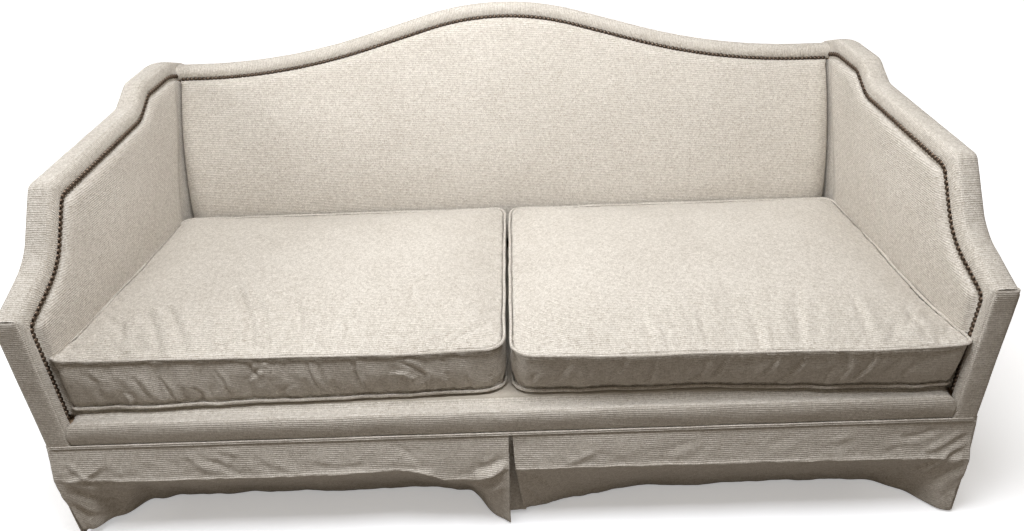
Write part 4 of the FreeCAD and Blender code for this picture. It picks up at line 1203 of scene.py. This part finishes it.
# Front skirts, by distance from the middle: place of the turned-under hem along the depth, height of
# the fold over the floor, and lift of the hem
HEM_PLACE = {
    -1: [(0.004, -0.492), (0.03, -0.48), (0.052, -0.455), (0.075, -0.425), (0.11, -0.402), (0.16, -0.391),
         (0.43, -0.388), (0.8, -0.388), (0.87, -0.394), (0.9, -0.41), (0.93, -0.437), (0.96, -0.463), (0.985, -0.484),
         (1.005, -0.494), (1.03, -0.498)],
    1: [(0.004, -0.474), (0.023, -0.466), (0.054, -0.455), (0.131, -0.432), (0.235, -0.413), (0.32, -0.405),
        (0.8, -0.404), (0.87, -0.408), (0.905, -0.425), (0.935, -0.447), (0.961, -0.468), (0.99, -0.489),
        (1.005, -0.496), (1.03, -0.499)],
}
FOLD_HEIGHT = {
    -1: [(0.0, 0.186), (0.03, 0.172), (0.08, 0.152), (0.15, 0.152), (0.2, 0.178), (0.25, 0.186), (0.4, 0.182),
         (0.7, 0.178), (0.95, 0.182), (1.03, 0.186)],
    1: [(0.0, 0.177), (0.13, 0.179), (0.42, 0.177), (0.7, 0.176), (0.93, 0.171), (1.03, 0.163)],
}
HEM_LIFT = {
    -1: [(0.0, 0.0), (0.88, 0.0), (0.93, 0.008), (0.98, 0.018), (1.03, 0.022)],
    1: [(0.0, 0.006), (0.06, 0.002), (0.12, 0.0), (1.03, 0.0)],
}
# On the front skirts the points are distance from the middle and height over the floor
SKIRT_CREASES = {
    -1: [([(0.985, 0.232), (0.96, 0.205), (0.93, 0.17)], -0.005, 0.008),
         ([(0.995, 0.18), (0.95, 0.19), (0.9, 0.225)], -0.0046, 0.008),
         ([(1.0, 0.15), (0.96, 0.12), (0.935, 0.07)], 0.0065, 0.01),
         ([(1.005, 0.12), (0.975, 0.085), (0.955, 0.045)], -0.006, 0.009),
         ([(0.99, 0.175), (0.94, 0.15), (0.9, 0.1)], -0.005, 0.01),
         ([(0.96, 0.18), (0.91, 0.17), (0.86, 0.13)], 0.0046, 0.01),
         ([(0.72, 0.245), (0.69, 0.215), (0.66, 0.19)], -0.0034, 0.01),
         ([(0.69, 0.23), (0.64, 0.21), (0.6, 0.18)], 0.004, 0.009),
         ([(0.56, 0.24), (0.53, 0.215), (0.49, 0.19)], -0.0026, 0.011),
         ([(0.64, 0.25), (0.6, 0.235)], -0.0026, 0.008), ([(0.45, 0.205), (0.38, 0.195), (0.32, 0.2)], 0.0028, 0.01),
         ([(0.25, 0.245), (0.215, 0.21), (0.195, 0.19)], 0.003, 0.009),
         ([(0.005, 0.196), (0.04, 0.172), (0.085, 0.16)], -0.008, 0.009),
         ([(0.01, 0.18), (0.045, 0.15), (0.09, 0.138)], 0.007, 0.009),
         ([(0.02, 0.13), (0.06, 0.105), (0.1, 0.1)], -0.006, 0.01),
         ([(0.015, 0.1), (0.05, 0.07), (0.08, 0.06)], 0.005, 0.01),
         ([(0.16, 0.172), (0.22, 0.172), (0.3, 0.16)], -0.004, 0.009)],
    1: [([(1.005, 0.235), (0.96, 0.205), (0.915, 0.185)], -0.0046, 0.009),
        ([(1.01, 0.205), (0.97, 0.18), (0.94, 0.13), (0.915, 0.09)], -0.007, 0.009),
        ([(1.0, 0.19), (0.955, 0.16), (0.92, 0.125)], 0.006, 0.01),
        ([(1.01, 0.15), (0.985, 0.11), (0.96, 0.06)], 0.0046, 0.011),
        ([(0.95, 0.245), (0.9, 0.225), (0.86, 0.22)], 0.0034, 0.008), ([(0.88, 0.215), (0.82, 0.2)], -0.0026, 0.009),
        ([(0.4, 0.235), (0.34, 0.205)], 0.0026, 0.01), ([(0.2, 0.225), (0.15, 0.2), (0.12, 0.19)], -0.0026, 0.01),
        ([(0.62, 0.24), (0.57, 0.215)], 0.0022, 0.011), ([(0.02, 0.15), (0.06, 0.11), (0.09, 0.07)], -0.0046, 0.01),
        ([(0.01, 0.11), (0.035, 0.07), (0.045, 0.03)], 0.0046, 0.009),
        ([(0.76, 0.235), (0.7, 0.22)], -0.0022, 0.009)],
}


def read_off(places, values):
    """Smooth values read off a line of measured places."""
    xs = np.linspace(places[0][0], places[-1][0], 400)
    ys = np.interp(xs, [a for a, _ in places], [b for _, b in places])
    soft = np.convolve(np.pad(ys, 4, mode="edge"), np.ones(9) / 9, mode="valid")
    return np.interp(values, xs, soft)


def front_skirt(side):
    """Skirt panel that hangs from the cord, its lower part turned back under the sofa between its ends."""
    seed = 101 if side > 0 else 107
    inner, outer = 0.0045, HALF + 0.0005
    x = np.concatenate([np.linspace(inner, 0.24, 80)[:-1], np.linspace(0.24, outer - 0.17, 100)[:-1],
                        np.linspace(outer - 0.17, outer, 62)])
    drop = np.concatenate([np.linspace(0, 0.93, 18), [0.96, 0.98, 0.992, 1.0, 1.008, 1.02, 1.04],
                           1 + np.linspace(0.07, 1, 30)])
    xx, tt = np.meshgrid(x, drop)
    upper, lower = np.clip(tt, 0, 1), np.clip(tt - 1, 0, 1)
    fold = read_off(FOLD_HEIGHT[side], xx)
    hem_y, hem_z = read_off(HEM_PLACE[side], xx), HEM_HEIGHT + read_off(HEM_LIFT[side], xx)
    z = SKIRT_TOP - (SKIRT_TOP - fold) * upper - (fold - hem_z) * lower
    ease_in = 1 - (1 - lower) ** 1.2
    fold_y = FRONT - SKIRT_OUT - SKIRT_FLARE
    y = FRONT - SKIRT_OUT - SKIRT_FLARE * upper ** 1.1 + (hem_y - fold_y) * ease_in
    tucked = np.clip((hem_y - (FRONT - 0.022)) / 0.07, 0, 1)
    y -= 0.0025 * np.exp(-(((tt - 1.0) / 0.05) ** 2)) * tucked
    y += 0.005 * np.sin(np.pi * upper) * ruffle(xx, z * 0.5, seed, 0.24) * (lower == 0)
    slant = xx + z * (0.9 if side > 0 else -0.9)
    y += 0.0024 * ruffle(slant, z * 0.55, seed + 1, 0.050) * ease(upper * 1.5) * (0.5 + 0.5 * lower)
    y += 0.0010 * ruffle(xx, z, seed + 2, 0.020) * ease(upper * 2)
    y += 0.0040 * ruffle(xx, lower * 0.1, seed + 3, 0.10) * lower
    for line in SKIRT_CREASES[side]:
        y += crease(xx, z, line) * CREASE_SHARE
    near, last = ease(1 - (xx - inner) / 0.20), ease((outer - xx) / 0.03)
    if side < 0:
        y -= 0.012 * ease(1 - (xx - inner) / 0.10) * ease((tt - 0.7) / 0.8)
        y += 0.009 * np.sin((xx - inner) * 70 + 0.6) * ease((tt - 1.0) / 0.9) * near
        wave = 0.006 * np.sin((xx - outer) * 90 + z * 30) * ease(tt - 0.8)
        y += wave * ease((xx - outer + 0.24) / 0.12) * last
    else:
        y += 0.003 * np.sin((xx - inner) * 50 + 0.8) * ease((tt - 1.0) / 0.9) * near
        wave = 0.004 * np.sin((xx - outer) * 60 + z * 20) * ease(tt - 0.9)
        y += wave * ease((xx - outer + 0.2) / 0.12) * last
    spread = (0.004 if side < 0 else 0.016) * ease((SKIRT_TOP - z) / SKIRT_TOP) * ease(1 - (xx - inner) / 0.12)
    pull = 0.010 * ease((fold - z) / 0.17) * ease((xx - outer + 0.10) / 0.10) * (1.6 if side < 0 else 0.6)
    grid = np.stack([side * (xx + spread - pull), y, z], 2)
    shape = patch(grid, wound=side > 0)
    thread = shape.loops.layers.uv.new(THREADS)
    column, row = shape.verts.layers.int["column"], shape.verts.layers.int["row"]
    steps = np.hypot(np.diff(y, axis=0), np.diff(z, axis=0))
    run = np.concatenate([np.zeros((1, len(x))), np.cumsum(steps, axis=0)])
    for face in shape.faces:
        for loop in face.loops:
            loop[thread].uv = (side * x[loop.vert[column]], -run[loop.vert[row], loop.vert[column]])
    name = side_of(side) + "_front_skirt"
    made = piece(name + "_cloth", shape, "sofa", "upholstery_fabric", [name], threads=False)
    thickened(made, SKIRT_CLOTH)
    return made


def plain_skirt(node, start, end, out, flare, seed, reach, tuck=0.0):
    """Skirt panel that hangs from the cord with slight waves. Its ends reach out to the panels it meets."""
    width = (Vector(end) - Vector(start)).length
    s = np.linspace(0, 1, max(12, int(width / 0.012)))
    t = np.linspace(0, 1, 26)
    ss, tt = np.meshgrid(s, t)
    a, b, o = Vector((*start, 0)), Vector((*end, 0)), Vector((*out, 0))
    wave = 0.004 * ease(tt) * ruffle(ss * width, tt * 0.12, seed, 0.16) * ease(ss * 12) * ease((1 - ss) * 12)
    push = flare * tt - tuck * tt ** 2 * ease(1 - ss * width / 0.09) + 0.0012 + wave
    ahead = (b - a) / width
    shift = (-reach[0] * (1 - ss) + reach[1] * ss) * tt ** 0.8
    grid = np.stack([a.x + (b.x - a.x) * ss + o.x * push + ahead.x * shift,
                     a.y + (b.y - a.y) * ss + o.y * push + ahead.y * shift,
                     SKIRT_TOP - (SKIRT_TOP - HEM_HEIGHT) * tt], 2)
    facing = (b - a).cross(Vector((0, 0, -1)))
    shape = patch(grid, wound=facing.dot(o) > 0)
    made = piece(node + "_cloth", shape, "sofa", "upholstery_fabric", [node])
    thickened(made, SKIRT_CLOTH)
    return made


def skirt_cord():
    """Double cord round the top of the skirt."""
    out = 0.0022
    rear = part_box("skirt_welt")[1].y - 0.0027
    corners = [(-HALF - out, FRONT - out), (HALF + out, FRONT - out), (HALF + out, rear), (-HALF - out, rear)]
    lines = []
    for z, size in ((SKIRT_TOP + 0.0058, 0.0), (SKIRT_TOP + 0.0018, 0.0006)):
        line = []
        for k, (x, y) in enumerate(corners):
            nx, ny = corners[(k + 1) % 4]
            steps = max(8, int(math.hypot(nx - x, ny - y) / 0.012))
            for n in range(steps):
                share = 0.006 + 0.988 * n / (steps - 1)
                wave = 0.0007 * noise.noise(Vector((x + (nx - x) * share * 9, (ny - y) * share * 9, z * 90)))
                line.append(Vector((x + (nx - x) * share, y + (ny - y) * share - size, z + wave)))
        lines.append(line)
    cords = piping("skirt_cord", lines, SKIRT_CORD, "sofa", ["skirt_welt"])
    return cords


def pleat_backings():
    """Cloth behind the kick pleat and the corner pleats."""
    sheets = []
    low, high = 0.008, SKIRT_TOP - 0.004
    s, t = np.meshgrid(np.linspace(-1, 1, 24), np.linspace(0, 1, 24))
    y = FRONT + 0.005 + 0.004 * t + 0.002 * ruffle(s, t, 121, 0.8)
    sheets.append(patch(np.stack([0.001 + 0.028 * s, y, high - (high - 0.012) * t], 2)))
    for side in (1, -1):
        for y, way in ((FRONT + 0.003, 1), (SKIRT_REAR - 0.003, -1)):
            s, t = np.meshgrid(np.linspace(0, 1, 8), np.linspace(0, 1, 20))
            grid = np.stack([side * (HALF - 0.004 - 0.030 * s - 0.004 * t),
                             y + way * (0.020 * s - 0.010 * t * (way > 0)), high - (high - low) * t], 2)
            sheets.append(patch(grid, wound=side * way > 0))
    made = piece("pleat_cloth", joined(sheets), "sofa", "upholstery_fabric", ["pleat_backings"])
    return made


# Hidden cloths

def level_cloth(name, node, slot, over, waves, seed):
    """Thin cloth stretched level over its frame."""
    low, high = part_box(node)
    s, t = np.meshgrid(np.linspace(0, 1, 90), np.linspace(0, 1, 40))
    x, y = low.x + (high.x - low.x) * s, low.y + (high.y - low.y) * t
    gap = np.minimum(np.minimum(s, 1 - s) * (high.x - low.x), np.minimum(t, 1 - t) * (high.y - low.y))
    shape = patch(np.stack([x, y, low.z + over + waves * ruffle(x, y, seed, 0.14) * ease(gap / 0.05)], 2))
    made = piece(name, shape, "sofa", slot, [node])
    thickened(made, LINING_CLOTH)
    return made


def back_webbing():
    """Jute straps on the back frame, woven over and under each other."""
    bottom = (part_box("back_webbing")[0].z - BASE) / math.cos(RAKE)
    face, half = 0.0455, STRAP_WIDTH / 2
    straps, area = [], 0.0
    levels = [bottom + (0.66 - bottom) * share for share in (0.25, 0.5, 0.75)]
    crest = camel_line(BACK_NAIL_LINE + 0.01, INSIDE)
    posts = [-INSIDE + 2 * INSIDE * (n + 0.5) / 8 for n in range(8)]
    for n, middle in enumerate(posts):
        end = float(np.interp(middle, crest[:, 0], crest[:, 1])) - 0.004
        s, t = np.meshgrid(np.linspace(-half, half, 7), np.linspace(bottom + 0.004, end, 60))
        lift = sum((1 if (n + k) % 2 else -1) * np.exp(-((t - level) / 0.035) ** 2) for k, level in enumerate(levels))
        straps.append(patch(back_world(middle + s, t, face + 0.0013 * lift)))
        area += STRAP_WIDTH * (end - bottom)
    for k, level in enumerate(levels):
        s, t = np.meshgrid(np.linspace(-INSIDE + 0.02, INSIDE - 0.02, 160), np.linspace(level - half, level + half, 7))
        lift = sum((1 if (n + k) % 2 else -1) * np.exp(-((s - middle) / 0.035) ** 2) for n, middle in enumerate(posts))
        straps.append(patch(back_world(s, t, face - 0.0013 * lift)))
        area += STRAP_WIDTH * 2 * (INSIDE - 0.02)
    made = piece("back_straps", joined(straps), "sofa", "webbing", ["back_webbing"])
    return made


# Stage

CAMERA_PLACE = (0.0367, -1.5992, 1.3806)
CAMERA_YAW, CAMERA_PITCH, CAMERA_ROLL = -0.0044445, 0.4612891, 0.0352393
CAMERA_LENS, CAMERA_SHIFT = 24.01, (-0.0047, -0.0591)


def photo_camera():
    """The camera that was fitted to the photo."""
    yaw, pitch, roll = CAMERA_YAW, CAMERA_PITCH, CAMERA_ROLL
    ahead = Vector((math.sin(yaw) * math.cos(pitch), math.cos(yaw) * math.cos(pitch), -math.sin(pitch)))
    right = Vector((math.cos(yaw), -math.sin(yaw), 0))
    down = ahead.cross(right)
    across = right * math.cos(roll) + down * math.sin(roll)
    below = down * math.cos(roll) - right * math.sin(roll)
    data = bpy.data.cameras.new("Photo view")
    data.lens, data.sensor_width = CAMERA_LENS, 36.0
    data.shift_x, data.shift_y = CAMERA_SHIFT
    data.clip_start, data.clip_end = 0.05, 60
    camera = bpy.data.objects.new("Photo view", data)
    bpy.context.scene.collection.objects.link(camera)
    turn = Matrix((across, -below, -ahead)).transposed().to_4x4()
    camera.matrix_world = Matrix.Translation(CAMERA_PLACE) @ turn
    bpy.context.scene.camera = camera


def lamp(name, place, target, size, power, colour, spread=180):
    """A soft rectangular lamp aimed at a target."""
    data = bpy.data.lights.new(name, "AREA")
    data.shape, data.size, data.size_y = "RECTANGLE", size[0], size[1]
    data.energy, data.color, data.spread = power, colour, math.radians(spread)
    made = bpy.data.objects.new(name, data)
    bpy.context.scene.collection.objects.link(made)
    made.location = place
    made.rotation_euler = (Vector(target) - Vector(place)).to_track_quat("-Z", "Y").to_euler()


def build_stage():
    """Pale floor, soft lamps, a white surround and the camera at the photo's angle."""
    photo_camera()
    shape = bmesh.new()
    bmesh.ops.create_grid(shape, x_segments=8, y_segments=8, size=9.0)
    mesh = bpy.data.meshes.new("Floor")
    shape.to_mesh(mesh)
    shape.free()
    floor = bpy.data.objects.new("Floor", mesh)
    bpy.context.scene.collection.objects.link(floor)
    paint = Finish("Pale floor", Roughness=0.9, Specular_IOR_Level=0.1)
    x, y, _ = paint.place("Object")
    fleck = paint.cloud(paint.at(x * 3.0, y * 3.0), 3.0)
    seen = Figure(paint, paint.node("LightPath").outputs["Is Camera Ray"])
    pale = paint.between((0.84, 0.84, 0.84), (0.88, 0.88, 0.88), fleck)
    paint.set("Base Color", paint.between((0.30, 0.27, 0.24), pale, seen))
    away = paint.maths("SQRT", x * x + y * y)
    glow = paint.maths("MINIMUM", paint.maths("MAXIMUM", (away - 0.9) / 1.6, 0.0), 1.0) * 0.65 + 0.35
    paint.set("Emission Color", paint.between((0, 0, 0), (1, 1, 1), glow * seen))
    paint.shader.inputs["Emission Strength"].default_value = 1.0
    mesh.materials.append(paint.material)
    world = bpy.data.worlds.new("Soft surround")
    bpy.context.scene.world = world
    world.use_nodes = True
    sky = Nodes(world.node_tree)
    rays = sky.node("LightPath").outputs
    seen = sky.maths("MAXIMUM", rays["Is Camera Ray"], rays["Is Glossy Ray"])
    soft = sky.node("Background", sockets={0: (1.0, 0.87, 0.73), 1: 0.21}).outputs[0]
    white = sky.node("Background", sockets={0: (1.0, 1.0, 1.0), 1: 1.0}).outputs[0]
    mixed = sky.node("MixShader", sockets={0: seen, 1: soft, 2: white}).outputs[0]
    sky.node("OutputWorld", sockets={0: mixed})
    lamp("Overhead softbox", (0.0, -0.71, 2.3), (0, 0.05, 0.4), (1.2, 0.7), 46, (0.96, 0.985, 1.04))
    lamp("Front strip", (0.0, -1.3, 2.6), (0, 0.32, 0.85), (2.8, 0.3), 1.2, (1.0, 0.98, 0.95), 45)
    lamp("Window side", (-3.0, -0.5, 1.75), (0.6, 0.0, 0.55), (1.0, 1.0), 36, (0.95, 0.98, 1.03))
    lamp("Rear softbox", (0.0, 1.0, 2.4), (0, -0.1, 0.4), (2.0, 0.8), 9, (0.96, 0.98, 1.0))
    bpy.context.scene.view_settings.view_transform = "Standard"


class SOFA_OT_stage(bpy.types.Operator):
    """Set the floor, the lamps and the camera"""

    bl_idname = "sofa.stage"
    bl_label = "Stage"

    def execute(self, context):
        build_stage()
        return {"FINISHED"}


class SOFA_OT_timber(bpy.types.Operator):
    """Give the frame, the legs and the fittings their finishes"""

    bl_idname = "sofa.timber"
    bl_label = "Frame and fittings"

    def execute(self, context):
        slots = {part["node"]: part["material_slot"] for part in frame["record"]["subparts"]}
        for name, node in frame["nodes"].items():
            finish = slots[name]
            if name.endswith("post") or name == "back_uprights":
                finish = "post_timber"
            node.data.materials.clear()
            node.data.materials.append(FINISHES[finish])
        return {"FINISHED"}


class SOFA_OT_arms(bpy.types.Operator):
    """Cover both arms: border, inside, outside and front panels"""

    bl_idname = "sofa.arms"
    bl_label = "Arms"

    def execute(self, context):
        sizes = context.scene.sofa_sizes
        for side in (1, -1):
            arm_border(side, sizes)
            inside_arm(side, sizes)
            outside_arm(side)
            arm_front(side)
        return {"FINISHED"}


class SOFA_OT_back(bpy.types.Operator):
    """Cover the back: top roll, inside panel and outside panel"""

    bl_idname = "sofa.back"
    bl_label = "Back"

    def execute(self, context):
        sizes = context.scene.sofa_sizes
        back_border()
        inside_back(sizes)
        outside_back()
        return {"FINISHED"}


class SOFA_OT_nails(bpy.types.Operator):
    """Set the nail heads along the back and the arms"""

    bl_idname = "sofa.nails"
    bl_label = "Nail heads"

    def execute(self, context):
        sizes = context.scene.sofa_sizes
        back_nails(sizes)
        for side in (1, -1):
            arm_nails(side, sizes)
        return {"FINISHED"}


class SOFA_OT_seat(bpy.types.Operator):
    """Cover the front rail and the seat deck"""

    bl_idname = "sofa.seat"
    bl_label = "Seat"

    def execute(self, context):
        front_border()
        deck_pad()
        return {"FINISHED"}


class SOFA_OT_skirt(bpy.types.Operator):
    """Hang the skirt from its double cord"""

    bl_idname = "sofa.skirt"
    bl_label = "Skirt"

    def execute(self, context):
        for side in (1, -1):
            front_skirt(side)
            x = side * (HALF + 0.0006)
            reach, tuck = (0.022, 0.010) if side > 0 else (0.020, 0.018)
            plain_skirt(side_of(side) + "_side_skirt", (x, FRONT), (x, SKIRT_REAR), (side, 0), 0.0060, 111 + side,
                        (reach, 0.004), tuck)
        plain_skirt("back_skirt", (HALF, SKIRT_REAR), (-HALF, SKIRT_REAR), (0, 1), 0.004, 117, (0.0065, 0.0065))
        skirt_cord()
        pleat_backings()
        return {"FINISHED"}


class SOFA_OT_cushions(bpy.types.Operator):
    """Fill and pipe the two loose cushions"""

    bl_idname = "sofa.cushions"
    bl_label = "Cushions"

    def execute(self, context):
        for side in (1, -1):
            cushion(side, context.scene.sofa_sizes)
        return {"FINISHED"}


class SOFA_OT_linings(bpy.types.Operator):
    """Stretch the webbing, the insulator and the dust cloth"""

    bl_idname = "sofa.linings"
    bl_label = "Webbing and linings"

    def execute(self, context):
        back_webbing()
        level_cloth("seat_insulator_cloth", "seat_insulator", "hessian", 0.001, 0.0006, 131)
        level_cloth("dust_cloth", "dust_cover", "dust_cloth", 0.0006, 0.0012, 137)
        return {"FINISHED"}


class SOFA_PT_panel(bpy.types.Panel):
    """Buttons and settings of the sofa"""

    bl_label = "Camelback sofa"
    bl_idname = "SOFA_PT_panel"
    bl_space_type = "VIEW_3D"
    bl_region_type = "UI"
    bl_category = "Sofa"

    def draw(self, context):
        for kind in STEPS:
            self.layout.operator(kind.bl_idname)
        for group in (context.scene.sofa_sizes, context.scene.sofa_colours):
            for key in group.__annotations__:
                self.layout.prop(group, key)


STEPS = (SOFA_OT_stage, SOFA_OT_timber, SOFA_OT_arms, SOFA_OT_back, SOFA_OT_nails, SOFA_OT_seat, SOFA_OT_skirt,
         SOFA_OT_cushions, SOFA_OT_linings)
CLASSES = (SofaSizes, SofaColours, *STEPS, SOFA_PT_panel)


def register():
    for kind in CLASSES:
        bpy.utils.register_class(kind)
    bpy.types.Scene.sofa_sizes = PointerProperty(type=SofaSizes)
    bpy.types.Scene.sofa_colours = PointerProperty(type=SofaColours)


def unregister():
    del bpy.types.Scene.sofa_colours
    del bpy.types.Scene.sofa_sizes
    for kind in reversed(CLASSES):
        bpy.utils.unregister_class(kind)


def main():
    register()
    make_finishes(bpy.context.scene.sofa_sizes, bpy.context.scene.sofa_colours)
    for kind in STEPS:
        family, step = kind.bl_idname.split(".")
        getattr(getattr(bpy.ops, family), step)()


if __name__ == "__main__":
    main()
